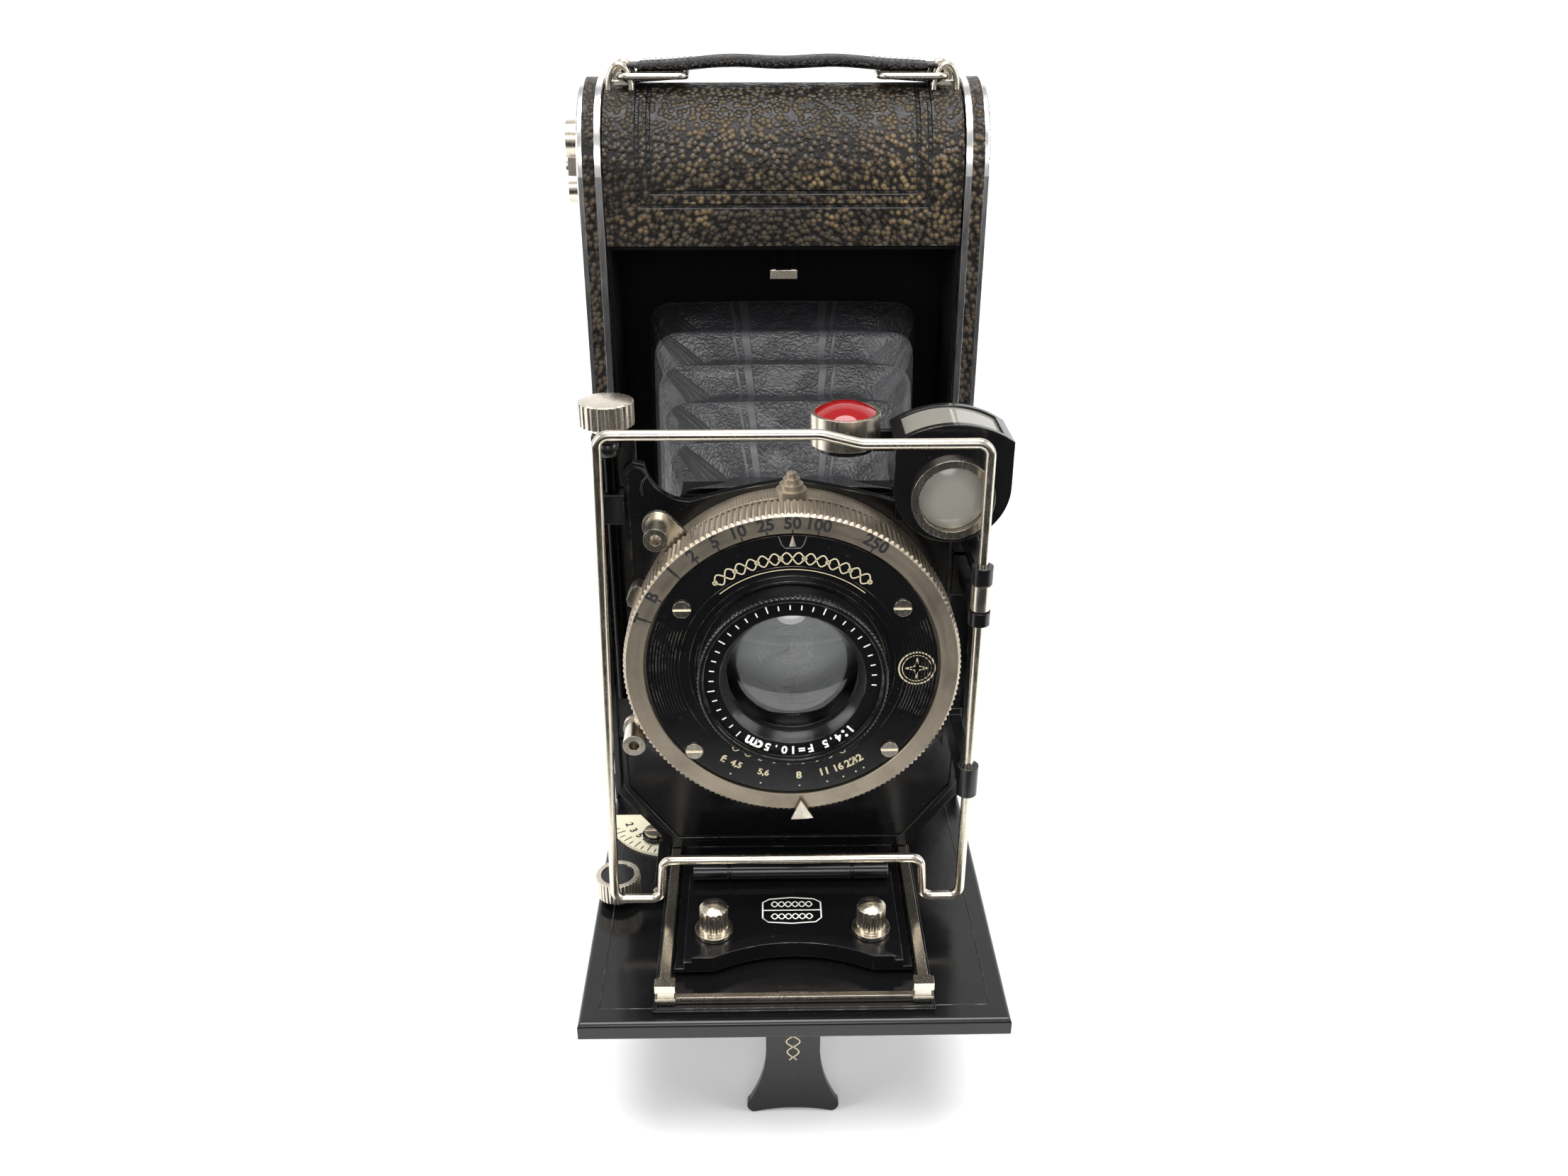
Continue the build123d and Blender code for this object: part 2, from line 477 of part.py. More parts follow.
def make_standard():
    """The U-shaped standard, the bellows collar, and the knob and screw that raise the lens board."""
    left = [(23.0, 36.0), (23.0, 37.0), (24.2, 39.2), (31.5, 48.5), (UPRIGHT_X, UPRIGHT_TOP - 1.5),
            (UPRIGHT_X - 1.5, UPRIGHT_TOP), (26.2, UPRIGHT_TOP), (25.0, UPRIGHT_TOP - 1.2), (25.0, 105.0)]
    outline = left + [(-x, z) for x, z in reversed(left)]
    d0, d1 = STANDARD_D, STANDARD_D + STANDARD_THICK
    plate = outline_plate(outline, d0, d1)
    for dz in (0.0, 8.0):
        plate -= rod_y(0, AXIS_Z + dz, 16.4, d0 - 1, d1 + 1)
    plate -= block(-16.4, 16.4, d0 - 1, d1 + 1, AXIS_Z, AXIS_Z + 8.0)
    for side in (-1, 1):
        x0, x1 = sorted((side * (UPRIGHT_X - 1.0), side * UPRIGHT_X))
        plate += block(x0, x1, d1 - 0.5, d1 + 1.6, 50.0, UPRIGHT_TOP - 2.0)
    shelf = block(KNOB_X - 2.4, -27.3, d1 - 1.0, KNOB_D + 2.2, UPRIGHT_TOP, UPRIGHT_TOP + 1.2)
    shelf += block(KNOB_X - 2.4, -27.3, d0, d1, UPRIGHT_TOP - 1.0, UPRIGHT_TOP + 1.2)
    plate += shelf - rod_z(KNOB_X, KNOB_D, 0.96, 100, 130)
    save("u_standard", plate)
    collar = block(-18.0, 18.0, 54.0, STANDARD_D, AXIS_Z - 23.4, AXIS_Z + 23.4)
    save("bellows_collar", collar - block(-17.2, 17.2, 50.0, 70.0, AXIS_Z - 22.6, AXIS_Z + 22.6))
    knob = rod_z(KNOB_X, KNOB_D, 4.375, 119.6, 123.3)
    crown = Pos(KNOB_X, FRONT_Y - KNOB_D, 123.3 - 15.0) * Sphere(15.65)
    knob += crown & rod_z(KNOB_X, KNOB_D, 4.1, 123.2, 125.0)
    knob = fluted(knob, KNOB_X, FRONT_Y - KNOB_D, 4.6, 24, 0.42, 119, 123.4)
    knob += rod_z(KNOB_X, KNOB_D, 2.4, 118.4, 119.7)
    save("rise_knob", knob + rod_z(KNOB_X, KNOB_D, 0.9, 70.0, 118.5))


def make_bellows():
    """A plain closed solid with the bellows' true outer shape, hollow from end to end."""
    def frustum(grow):
        back = Plane(origin=(0, FRONT_Y + CHAMBER_BACK - 0.9, AXIS_Z), x_dir=(1, 0, 0), z_dir=(0, -1, 0))
        front = Plane(origin=(0, FRONT_Y - STANDARD_D + 0.4, AXIS_Z), x_dir=(1, 0, 0), z_dir=(0, -1, 0))
        return loft([back * Rectangle(59 + grow, 79 + grow), front * Rectangle(38.6 + grow, 49.4 + grow)])

    save("bellows", frustum(0) - frustum(-2.0))


def make_wire_frame():
    """The wire frame finder and the knuckles that it swings in."""
    y = FRONT_Y - WIRE_D
    points = [(-28.8, 123.0), (4.0, 123.0), (10.0, 121.5), (WIRE_HINGE_X, 121.5), (WIRE_HINGE_X, 38.7),
              (22.6, 38.7), (22.0, 46.8), (-22.0, 46.8), (-22.6, 38.7), (-30.7, 38.7)]
    radii = [2.0, 6.0, 6.0, 2.0, 1.8, 1.8, 1.8, 1.8, 1.8, 1.8]
    path = FilletPolyline(*[(x, y, z) for x, z in points], radius=radii, close=True)
    start = Plane(origin=path @ 0, z_dir=path % 0)
    stop = rod_z(WIRE_HINGE_X, WIRE_D, 1.5, 94.4, 98.6)
    save("wire_frame", sweep(start * Circle(WIRE_R), path=path) + stop)
    knuckles = []
    knuckle_places = ((100.3, 2.9), (93.0, 2.3), (62.8, 5.5))
    for z, height in knuckle_places:
        band = rod_z(WIRE_HINGE_X, WIRE_D, 1.7, z - height / 2, z + height / 2)
        low, high = z - height / 2, z + height / 2
        band += block(WIRE_HINGE_X - 1.0, WIRE_HINGE_X + 1.0, 63.8, WIRE_D - 0.5, low, high)
        band -= rod_z(WIRE_HINGE_X, WIRE_D, WIRE_R + 0.07, z - 5, z + 5)
        band += block(WIRE_HINGE_X - 2.0, UPRIGHT_X - 1.2, STANDARD_D + STANDARD_THICK, 64.0, z - 4, z + 4)
        knuckles.append(band)
    save("frame_knuckles", knuckles)


# ---- lens board
def make_lens_board():
    """The lens panel, the bracket of the finder and the level, and the round spirit level."""
    d0, d1 = PANEL_D, PANEL_D + PANEL_THICK
    half = [(0, 54.0), (20.0, 54.0), (27.0, 61.0), (27.0, 111.4), (25.4, 113.0), (23.6, 112.6)]
    right = [Line(half[0], half[1]), Line(half[1], half[2]), Line(half[2], half[3]), Line(half[3], half[4]),
             Line(half[4], half[5]), ThreePointArc(half[5], (21.4, 108.2), (16.3, 106.2)),
             ThreePointArc((16.3, 106.2), (8.6, 108.2), (0, 109.7)), Line((0, 109.7), half[0])]
    half_panel = extrude(face_plane(d0) * make_face(Wire(right)), d1 - d0)
    panel = half_panel + mirror(half_panel, about=Plane.YZ)
    panel -= rod_y(0, AXIS_Z, 12.6, d0 - 1, d1 + 1)
    nut = block(KNOB_X - 1.3, -26.9, d0 + 0.2, KNOB_D + 1.5, 103.0, 108.0)
    panel += nut
    panel -= rod_z(KNOB_X, KNOB_D, 0.97, 100, 112)
    save("lens_panel", panel)
    arm = block(17.0, 26.5, d1, d1 + 1.0, 103.0, 116.0)
    arm += block(5.0, 18.0, d1, d1 + 1.0, 115.0, 118.4)
    arm += block(5.0, 12.0, d1, LEVEL_D, 117.4, 118.4)
    arm += rod_z(LEVEL_X, LEVEL_D, 4.4, 117.4, 118.4)
    arm += rod_y(FINDER_X, FINDER_Z, 2.2, d1, FINDER_BACK_D - 0.15)
    save("finder_bracket", arm)
    cup_top = 123.3
    glass_r = 4.7
    cup = rod_z(LEVEL_X, LEVEL_D, 5.4, 118.4, cup_top)
    cup -= rod_z(LEVEL_X, LEVEL_D, glass_r + 0.05, 119.4, cup_top + 1)
    save("level_cup", cup)
    dome = Pos(LEVEL_X, FRONT_Y - LEVEL_D, 117.0) * Sphere(7.8)
    glass = rod_z(LEVEL_X, LEVEL_D, glass_r, 119.4, cup_top - 0.1)
    glass += dome & rod_z(LEVEL_X, LEVEL_D, glass_r, cup_top - 0.2, cup_top + 3)
    save("level_glass", glass)


def make_shutter():
    """The shutter: case, face plate with its screws, milled speed ring and iris blades."""
    back = PANEL_D + PANEL_THICK
    case = rod_y(0, AXIS_Z, CASE_R, back, CASE_FRONT_D)
    case -= rod_y(0, AXIS_Z, 12.0, back - 1, CASE_FRONT_D + 1)
    case -= rod_y(0, AXIS_Z, 16.2, 69.6, 70.6)
    groove = rod_y(0, AXIS_Z, CASE_R + 2, 68.7, 71.3) - rod_y(0, AXIS_Z, 24.3, 68, 72)
    face = tube_y(0, AXIS_Z, 23.5, LENS_R + 0.2, CASE_FRONT_D, 77.5)
    screws = []
    screw_places = ((-17.4, 11.0), (17.4, 11.0), (-16.2, -15.2), (16.2, -15.2))
    for x, dz in screw_places:
        face -= rod_y(x, AXIS_Z + dz, 1.5, 76.9, 79)
        head = rod_y(x, AXIS_Z + dz, 1.45, 76.9, 77.9)
        screws.append(head - block(x - 2, x + 2, 77.6, 78.2, AXIS_Z + dz - 0.2, AXIS_Z + dz + 0.2))
    save("face_plate", face)
    save("face_screws", screws)
    ring = tube_y(0, AXIS_Z, RING_R, RING_INNER_R, 76.9, 77.9)
    ring += tube_y(0, AXIS_Z, RING_R, CASE_R + 0.3, 71.9, 77.0)
    save("speed_ring", ring)
    cap = Pos(0, FRONT_Y - 68.0, 0) * (Pos(0, 0, 109.0) * Cylinder(2.45, 2.0))
    for radius, top in ((1.9, 110.9), (1.35, 111.8), (0.8, 112.7)):
        cap += rod_z(0, 68.0, radius, 109.0, top)
    cap = cap + rod_z(0, 67.0, 1.5, 107.5, 109.0)
    save("shutter_case", [case - groove, cap - rod_y(0, AXIS_Z, CASE_R, 60, CASE_FRONT_D)])
    blades = []
    for i in range(6):
        turn = 60 * i
        wedge = Pos(0, FRONT_Y - 70.1, AXIS_Z) * Rot(0, turn, 0) * Pos(10.6, 0, 0) * Box(11.0, 0.3, 30.0)
        sector = Polyline((0, 0), (40, 22.6), (40, -22.6), close=True)
        cutter = extrude(Plane(origin=(0, FRONT_Y - 72, 0), x_dir=(1, 0, 0), z_dir=(0, 1, 0))
                         * make_face(sector), 5)
        cutter = Pos(0, 0, AXIS_Z) * Rot(0, turn, 0) * cutter
        blades.append(wedge & cutter & rod_y(0, AXIS_Z, 15.6, 69.5, 70.8))
    save("iris_blades", blades)


def lever(name, angle, radius, width, post_r, post_d):
    """A shutter lever: a plate that comes out of the case's slot, with a round post at its end."""
    x, z = around_axis(angle, radius)
    inner = 24.6
    mid_x, mid_z = around_axis(angle, (inner + radius) / 2)
    arm = Pos(mid_x, FRONT_Y - 70.0, mid_z) * Rot(0, -angle, 0) * Box(radius - inner, 1.0, width)
    arm += rod_y(x, z, width / 2, 69.5, 70.5)
    arm -= rod_y(0, AXIS_Z, inner, 60, 80)
    arm += rod_y(x, z, post_r, 70.4, post_d)
    arm -= rod_y(x, z, 0.9, 72.0, post_d + 1)
    save(name, arm)


def make_levers():
    """The cocking and release levers, and the aperture pointer that hooks over the case."""
    lever("cocking_lever", 133.8, 30.6, 5.0, 1.9, 76.0)
    lever("release_lever", 210.0, 30.4, 4.6, 1.9, 76.0)
    turn = -90 + 3.5
    x, z = around_axis(turn, 26.4)
    arm = Pos(x, FRONT_Y - 70.0, z) * Rot(0, -turn, 0) * Box(3.6, 1.0, 2.4)
    x, z = around_axis(turn, 28.0)
    arm += Pos(x, FRONT_Y - 74.15, z) * Rot(0, -turn, 0) * Box(0.7, 9.3, 2.4)
    tip = Polyline((28.3, -1.9), (28.3, 1.9), (24.6, 0.0), close=True)
    wedge = extrude(Plane(origin=(0, FRONT_Y - 78.2, 0), x_dir=(1, 0, 0), z_dir=(0, -1, 0))
                    * make_face(tip), 0.6)
    arm += Pos(0, 0, AXIS_Z) * Rot(0, -turn, 0) * wedge
    save("aperture_pointer", arm)


def make_lens():
    """The front bezel, the rear cell, and their glasses."""
    bezel = rod_y(0, AXIS_Z, LENS_R, RIM_BACK_D, LENS_FRONT_D)
    bezel += rod_y(0, AXIS_Z, LENS_R - 0.2, CASE_FRONT_D, RIM_BACK_D)
    glass_r = 10.5
    bezel -= rod_y(0, AXIS_Z, glass_r + 0.1, CASE_FRONT_D - 1, LENS_FRONT_D + 1)
    bezel -= rod_y(0, AXIS_Z, 14.2, 81.2, LENS_FRONT_D + 1)
    bezel -= Pos(0, FRONT_Y - 80.3, AXIS_Z) * Rot(90, 0, 0) * Cone(glass_r + 0.1, 11.6, 1.8)
    front_ball = Pos(0, FRONT_Y - 80.4 + 26.0, AXIS_Z) * Sphere(26.0)
    front = rod_y(0, AXIS_Z, glass_r, 76.6, 82.0) & front_ball
    cell = tube_y(0, AXIS_Z, 11.9, 9.6, 57.4, 69.0)
    save("lens_cells", [bezel, cell])
    save("lens_glasses", [front, rod_y(0, AXIS_Z, 9.5, 58.6, 62.6)])


# ---- brilliant finder
def make_finder():
    """The reflecting finder: housing, ring, two glasses and the mirror between them."""
    d0, d1 = FINDER_BACK_D, FINDER_FRONT_D
    half, low_z, shoulder, top = 9.0, 113.0, 120.2, 123.0

    def body(inset, a, b):
        h = half - inset
        shoulder_z, top_z = shoulder - inset, top - inset
        edges = [ThreePointArc((-h, low_z), (0, low_z - h), (h, low_z)), Line((h, low_z), (h, shoulder_z)),
                 ThreePointArc((h, shoulder_z), (0, top_z), (-h, shoulder_z)),
                 Line((-h, shoulder_z), (-h, low_z))]
        return Pos(FINDER_X, 0, 0) * extrude(face_plane(a) * make_face(Wire(edges)), b - a)

    shell = body(0, d0, d1) - body(1.0, d0 + 1.0, d1 - 1.0)
    shell -= rod_y(FINDER_X, 111.4, 5.3, d1 - 2, d1 + 1)
    window_half, rim = 7.4, 1.2
    shell -= block(FINDER_X - window_half, FINDER_X + window_half, d0 + rim, d1 - rim, 117, 125)
    save("finder_housing", shell)
    save("finder_ring", tube_y(FINDER_X, 111.4, 6.4, 5.2, d1, d1 + 1.3))
    ball = Pos(FINDER_X, FRONT_Y - (d1 + 1.0) + 14.0, 111.4) * Sphere(14.0)
    front_lens = rod_y(FINDER_X, 111.4, 5.15, d1 - 0.9, d1 + 2) & ball
    top_half = window_half - 0.1
    top_lens = body(0.3, d0 + rim + 0.1, d1 - rim - 0.1)
    top_lens &= block(FINDER_X - top_half, FINDER_X + top_half, d0, d1, 119.4, 125)
    save("finder_glasses", [front_lens, top_lens])
    mirror_plate = Pos(FINDER_X, FRONT_Y - (d0 + d1) / 2, 112.2) * Rot(45, 0, 0) * Box(12.0, 10.0, 0.8)
    save("finder_mirror", mirror_plate)


make_body()
make_cap(-1)
make_cap(1)
make_chamber()
make_back_fittings()
make_strap()
make_key()
side_socket = make_side_fittings()
make_carrier()
make_bed(side_socket)
make_leg()
make_focus()
make_carriage()
make_standard()
make_bellows()
make_wire_frame()
make_lens_board()
make_shutter()
make_levers()
make_lens()
make_finder()
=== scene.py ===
"""Looks of the folding roll-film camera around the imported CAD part: materials, fine mesh work and stage."""

import random
from math import cos, hypot, pi, radians, sin, sqrt

import bmesh
import bpy
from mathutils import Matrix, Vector


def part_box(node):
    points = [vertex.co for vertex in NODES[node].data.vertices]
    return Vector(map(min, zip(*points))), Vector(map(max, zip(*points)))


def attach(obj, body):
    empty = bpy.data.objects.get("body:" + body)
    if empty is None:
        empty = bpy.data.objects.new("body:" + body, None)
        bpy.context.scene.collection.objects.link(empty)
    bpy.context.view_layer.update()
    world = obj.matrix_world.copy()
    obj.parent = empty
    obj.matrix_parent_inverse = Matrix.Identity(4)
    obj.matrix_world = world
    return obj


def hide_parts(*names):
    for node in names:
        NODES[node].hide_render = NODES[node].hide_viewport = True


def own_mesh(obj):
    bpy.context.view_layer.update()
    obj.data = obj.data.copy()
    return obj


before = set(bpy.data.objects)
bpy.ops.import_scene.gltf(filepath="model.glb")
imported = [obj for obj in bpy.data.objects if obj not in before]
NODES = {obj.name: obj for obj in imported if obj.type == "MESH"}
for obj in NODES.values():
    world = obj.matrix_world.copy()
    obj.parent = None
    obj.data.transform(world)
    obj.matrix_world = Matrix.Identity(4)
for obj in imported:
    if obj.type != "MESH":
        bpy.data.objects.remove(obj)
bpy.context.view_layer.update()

# Lengths are in mm and become metres in at(). Those in materials and on the stage are in metres.
MM = 0.001
FRONT_Y = 33.75          # the body's front face; depths d are measured forwards from it
AXIS_Z = 82.5            # height of the lens axis
FOLDS = 11               # panels of the bellows, each from a ridge to a valley
random.seed(9)


# ---------------------------------------------------------------- shader helpers
class Shader:
    """One material with a Principled shader, and short calls that add nodes to it."""

    def __init__(self, name, color=(0.5, 0.5, 0.5), rough=0.5, metal=0.0, **sockets):
        self.mat = bpy.data.materials.new(name)
        self.mat.use_nodes = True
        self.tree = self.mat.node_tree
        self.bsdf = self.tree.nodes["Principled BSDF"]
        self.set("Base Color", (*color, 1.0))
        self.set("Roughness", rough)
        self.set("Metallic", metal)
        for key, value in sockets.items():
            self.set(key.replace("_", " "), value)
        self.place = self.node("ShaderNodeTexCoord").outputs["Object"]

    def set(self, socket, value):
        self.put(self.bsdf.inputs[socket], value)

    def put(self, socket, value):
        if isinstance(value, bpy.types.NodeSocket):
            self.tree.links.new(value, socket)
        elif value is not None:
            socket.default_value = value

    def node(self, kind, values=None, **settings):
        made = self.tree.nodes.new(kind)
        for key, value in settings.items():
            setattr(made, key, value)
        for key, value in (values or {}).items():
            self.put(made.inputs[key], value)
        return made

    def math(self, operation, a, b=None, clamp=False):
        return self.node("ShaderNodeMath", {0: a, 1: b}, operation=operation, use_clamp=clamp).outputs[0]

    def ramp(self, value, low, high, a=0.0, b=1.0):
        """a at low, b at high, held outside."""
        return self.node("ShaderNodeMapRange", {0: value, 1: low, 2: high, 3: a, 4: b}).outputs[0]

    def mix(self, share, a, b):
        a, b = ((*c, 1.0) if isinstance(c, tuple) and len(c) == 3 else c for c in (a, b))
        return self.node("ShaderNodeMix", {0: share, 6: a, 7: b}, data_type="RGBA").outputs[2]

    def stretch(self, x, y, z, place=None):
        """The coordinates, scaled along each axis."""
        return self.node("ShaderNodeMapping", {0: place or self.place, 3: (x, y, z)}).outputs[0]

    def noise(self, scale, detail=2.0, rough=0.5, place=None):
        values = {"Vector": place or self.place, "Scale": scale, "Detail": detail, "Roughness": rough}
        return self.node("ShaderNodeTexNoise", values).outputs[0]

    def cells(self, scale, place=None, feature="F1"):
        return self.node("ShaderNodeTexVoronoi", {"Vector": place or self.place, "Scale": scale},
                         feature=feature).outputs[0]

    def axes(self, place=None):
        return self.node("ShaderNodeSeparateXYZ", {0: place or self.place}).outputs

    def bump(self, height, strength, distance, under=None):
        return self.node("ShaderNodeBump", {"Height": height, "Strength": strength, "Distance": distance,
                                            "Normal": under}).outputs[0]

    def edges(self, radius):
        """(normal rounded over the edges, mask that is 1 on an edge)."""
        soft = self.node("ShaderNodeBevel", {"Radius": radius}, samples=4).outputs[0]
        true = self.node("ShaderNodeNewGeometry").outputs["Normal"]
        dot = self.node("ShaderNodeVectorMath", {0: soft, 1: true}, operation="DOT_PRODUCT").outputs["Value"]
        return soft, self.ramp(dot, 0.99, 0.86)


# The framed leather's lip below these heights is kept dark as painted shade.
UPPER_LIP = (0.1345, 0.140)                          # heights over which the framed leather's wear fades in
WORN_MIDDLE = (0.033, 0.012)                         # distances from the middle over which it grows
FRAME_LINES = ((0.0284, 0.1423), (0.0262, 0.1449))   # the pressed double frame's half width and foot height
FRAME_BACK = 0.0508                                  # y of its far end, on top of the body
LINE_EDGE = (0.0005, 0.00028)                        # a pressed line's half width, outside and inside


def pressed_frame(s, inside_x, y, z):
    """Mask of the double line pressed round the front and top of the upper body."""
    line = None
    for half, low in FRAME_LINES:
        side = s.ramp(s.math("ABSOLUTE", s.math("SUBTRACT", inside_x, half)), *LINE_EDGE)
        side = s.math("MULTIPLY", side, s.math("GREATER_THAN", z, low))
        foot = s.ramp(s.math("ABSOLUTE", s.math("SUBTRACT", z, low)), *LINE_EDGE)
        foot = s.math("MULTIPLY", foot, s.math("LESS_THAN", inside_x, half))
        both = s.math("MAXIMUM", side, foot)
        line = both if line is None else s.math("MAXIMUM", line, both)
    return s.math("MULTIPLY", line, s.math("LESS_THAN", y, FRAME_BACK))


def leather(name, color, worn, cell, wear_low, wear_high, rough=0.42, framed=False):
    """Pebbled leather: glossy rounded pebbles with painted shade in the cracks between them, and tan
    rubbed specks that are full below the height wear_low and gone above wear_high. A framed one has none
    on its lip, which stays dark as painted shade, and a pressed double line."""
    s = Shader(name, color, rough, Specular_IOR_Level=0.28)
    pebble = s.cells(cell)
    fine = s.noise(cell * 2.2, 3.0)
    patch = s.noise(45.0, 3.0, 0.6)
    domes = s.math("MULTIPLY", s.ramp(pebble, 0.1, 0.65, 1.0, 0.0), 0.8)
    height = s.math("ADD", domes, s.math("MULTIPLY", fine, 0.25))
    x, y, z = s.axes()
    speck_zone = s.math("MULTIPLY", s.ramp(z, wear_high, wear_low), s.ramp(patch, 0.42, 0.6))
    if framed:
        # Painted shade: the lip, which faces forward and down, gets no tan specks and so stays dark.
        speck_zone = s.math("MULTIPLY", speck_zone, s.ramp(z, *UPPER_LIP))
        inside_x = s.math("ABSOLUTE", x)
        speck_zone = s.math("MULTIPLY", speck_zone, s.ramp(inside_x, *WORN_MIDDLE, 0.3, 1.0))
        line = pressed_frame(s, inside_x, y, z)
        height = s.math("SUBTRACT", height, s.math("MULTIPLY", line, 3.2))
    speck = s.math("MULTIPLY", s.ramp(s.noise(cell * 0.4, 4.0, 0.75), 0.44, 0.6), s.ramp(pebble, 0.62, 0.2))
    speck = s.math("MULTIPLY", speck, speck_zone, clamp=True)
    # Painted shade: the cracks between the pebbles are darkened to 0.15 of the leather's colour.
    crack_shade = tuple(c * 0.15 for c in color)
    tone = s.mix(s.ramp(pebble, 0.25, 0.55), s.mix(patch, color, tuple(c * 2.2 for c in color)), crack_shade)
    tone = s.mix(s.math("MULTIPLY", speck, 0.85), tone, worn)
    if framed:
        tone = s.mix(s.math("MULTIPLY", line, 0.8), tone, (0.002, 0.002, 0.002))
    s.set("Base Color", tone)
    s.set("Roughness", s.ramp(s.noise(cell * 0.4, 2.0), 0.3, 0.7, rough - 0.08, rough + 0.16))
    s.set("Normal", s.bump(height, 1.0, 0.00042))
    return s.mat


def enamel(name, rough=0.13):
    """Deep black stoved enamel, glossy, with faint orange peel, fine dust and bare metal on rubbed edges."""
    black, grey_dust, bare_metal = (0.004, 0.004, 0.0045), (0.3, 0.29, 0.27), (0.28, 0.25, 0.2)
    s = Shader(name, black, rough, Specular_IOR_Level=0.4)
    soft, edge = s.edges(0.00022)
    smear = s.noise(60.0, 4.0, 0.6)
    wear = s.math("MULTIPLY", edge, s.ramp(s.noise(220.0, 4.0, 0.7), 0.5, 0.72), clamp=True)
    dust = s.ramp(s.noise(2600.0, 1.0), 0.76, 0.8)
    tone = s.mix(s.math("MULTIPLY", dust, 0.12), black, grey_dust)
    s.set("Base Color", s.mix(wear, tone, bare_metal))
    s.set("Roughness", s.ramp(smear, 0.35, 0.7, rough, rough + 0.13))
    s.set("Metallic", s.math("MULTIPLY", wear, 0.9))
    s.set("Normal", s.bump(s.noise(700.0, 1.0), 0.05, 0.0002, soft))
    return s.mat


BLACKED_EDGE = 0.0001                                # height over which blacking on a plated part begins


def plated(name, color, rough, grain="streak", tarnish=0.25, edge_radius=0.00008, below=None, above=None):
    """Plated or polished metal: worn brighter on edges, dulled in patches, with fine marks that run round the
    lens axis ("lathe"), along Y and Z ("long") or up and down ("streak"). It is blacked below or above a
    height in mm if one is given."""
    s = Shader(name, color, rough, 1.0)
    soft, edge = s.edges(edge_radius)
    if grain == "lathe":
        x, y, z = s.axes()
        z = s.math("SUBTRACT", z, AXIS_Z * MM)
        r = s.math("SQRT", s.math("ADD", s.math("MULTIPLY", x, x), s.math("MULTIPLY", z, z)))
        rings = s.node("ShaderNodeCombineXYZ", {0: r, 1: s.math("MULTIPLY", y, 0.5)}).outputs[0]
        marks = s.noise(9000.0, 2.0, 0.6, rings)
    elif grain == "long":
        marks = s.noise(5200.0, 2.0, 0.6, s.stretch(1.0, 0.04, 0.04))
    else:
        marks = s.noise(2400.0, 3.0, 0.65, s.stretch(1.0, 1.0, 0.15))
    patch = s.noise(150.0, 4.0, 0.65)
    dull = tuple(c * (1 - tarnish) for c in color)
    bright = tuple(min(1.0, c * 1.18) for c in color)
    tone = s.mix(s.ramp(patch, 0.42, 0.72), color, dull)
    tone = s.mix(s.math("MULTIPLY", s.ramp(marks, 0.35, 0.7), 0.3), tone, dull)
    tone = s.mix(edge, tone, bright)
    if below or above:
        limit = (below or above) * MM
        blacked = s.ramp(s.axes()[2], limit, limit + (BLACKED_EDGE if above else -BLACKED_EDGE))
        tone = s.mix(blacked, tone, (0.006, 0.006, 0.006))
    s.set("Base Color", tone)
    s.set("Roughness", s.ramp(s.math("ADD", marks, patch), 0.7, 1.4, rough * 0.8, rough * 1.5))
    s.set("Normal", s.bump(marks, 0.12, 0.00004, soft))
    return s.mat


def painted(name, color, rough, spread=0.15, scale=400.0, shine=0.5):
    """Matt paint or ink with slight unevenness."""
    s = Shader(name, color, rough, Specular_IOR_Level=shine)
    cloud = s.noise(scale, 4.0, 0.6)
    low, high = (tuple(min(1.0, c * k) for c in color) for k in (1 - spread, 1 + spread))
    s.set("Base Color", s.mix(cloud, low, high))
    s.set("Roughness", s.ramp(cloud, 0.3, 0.7, rough - 0.06, rough + 0.08))
    s.set("Normal", s.bump(s.noise(scale * 5, 2.0), 0.1, 0.0001))
    return s.mat


def glassy(name, color, through, rough=0.015, **sockets):
    """Clear or tinted glass with a trace of dust."""
    s = Shader(name, color, rough, Transmission_Weight=through, IOR=1.5, **sockets)
    dust = s.ramp(s.noise(300.0, 3.0, 0.6), 0.5, 0.8)
    s.set("Roughness", s.math("ADD", rough, s.math("MULTIPLY", dust, 0.05)))
    return s.mat


PRESSED_BANDS = ((0.30, 0.036, 0.03), (0.39, 0.017, 0.012))   # middle, and the outside and inside of its edge


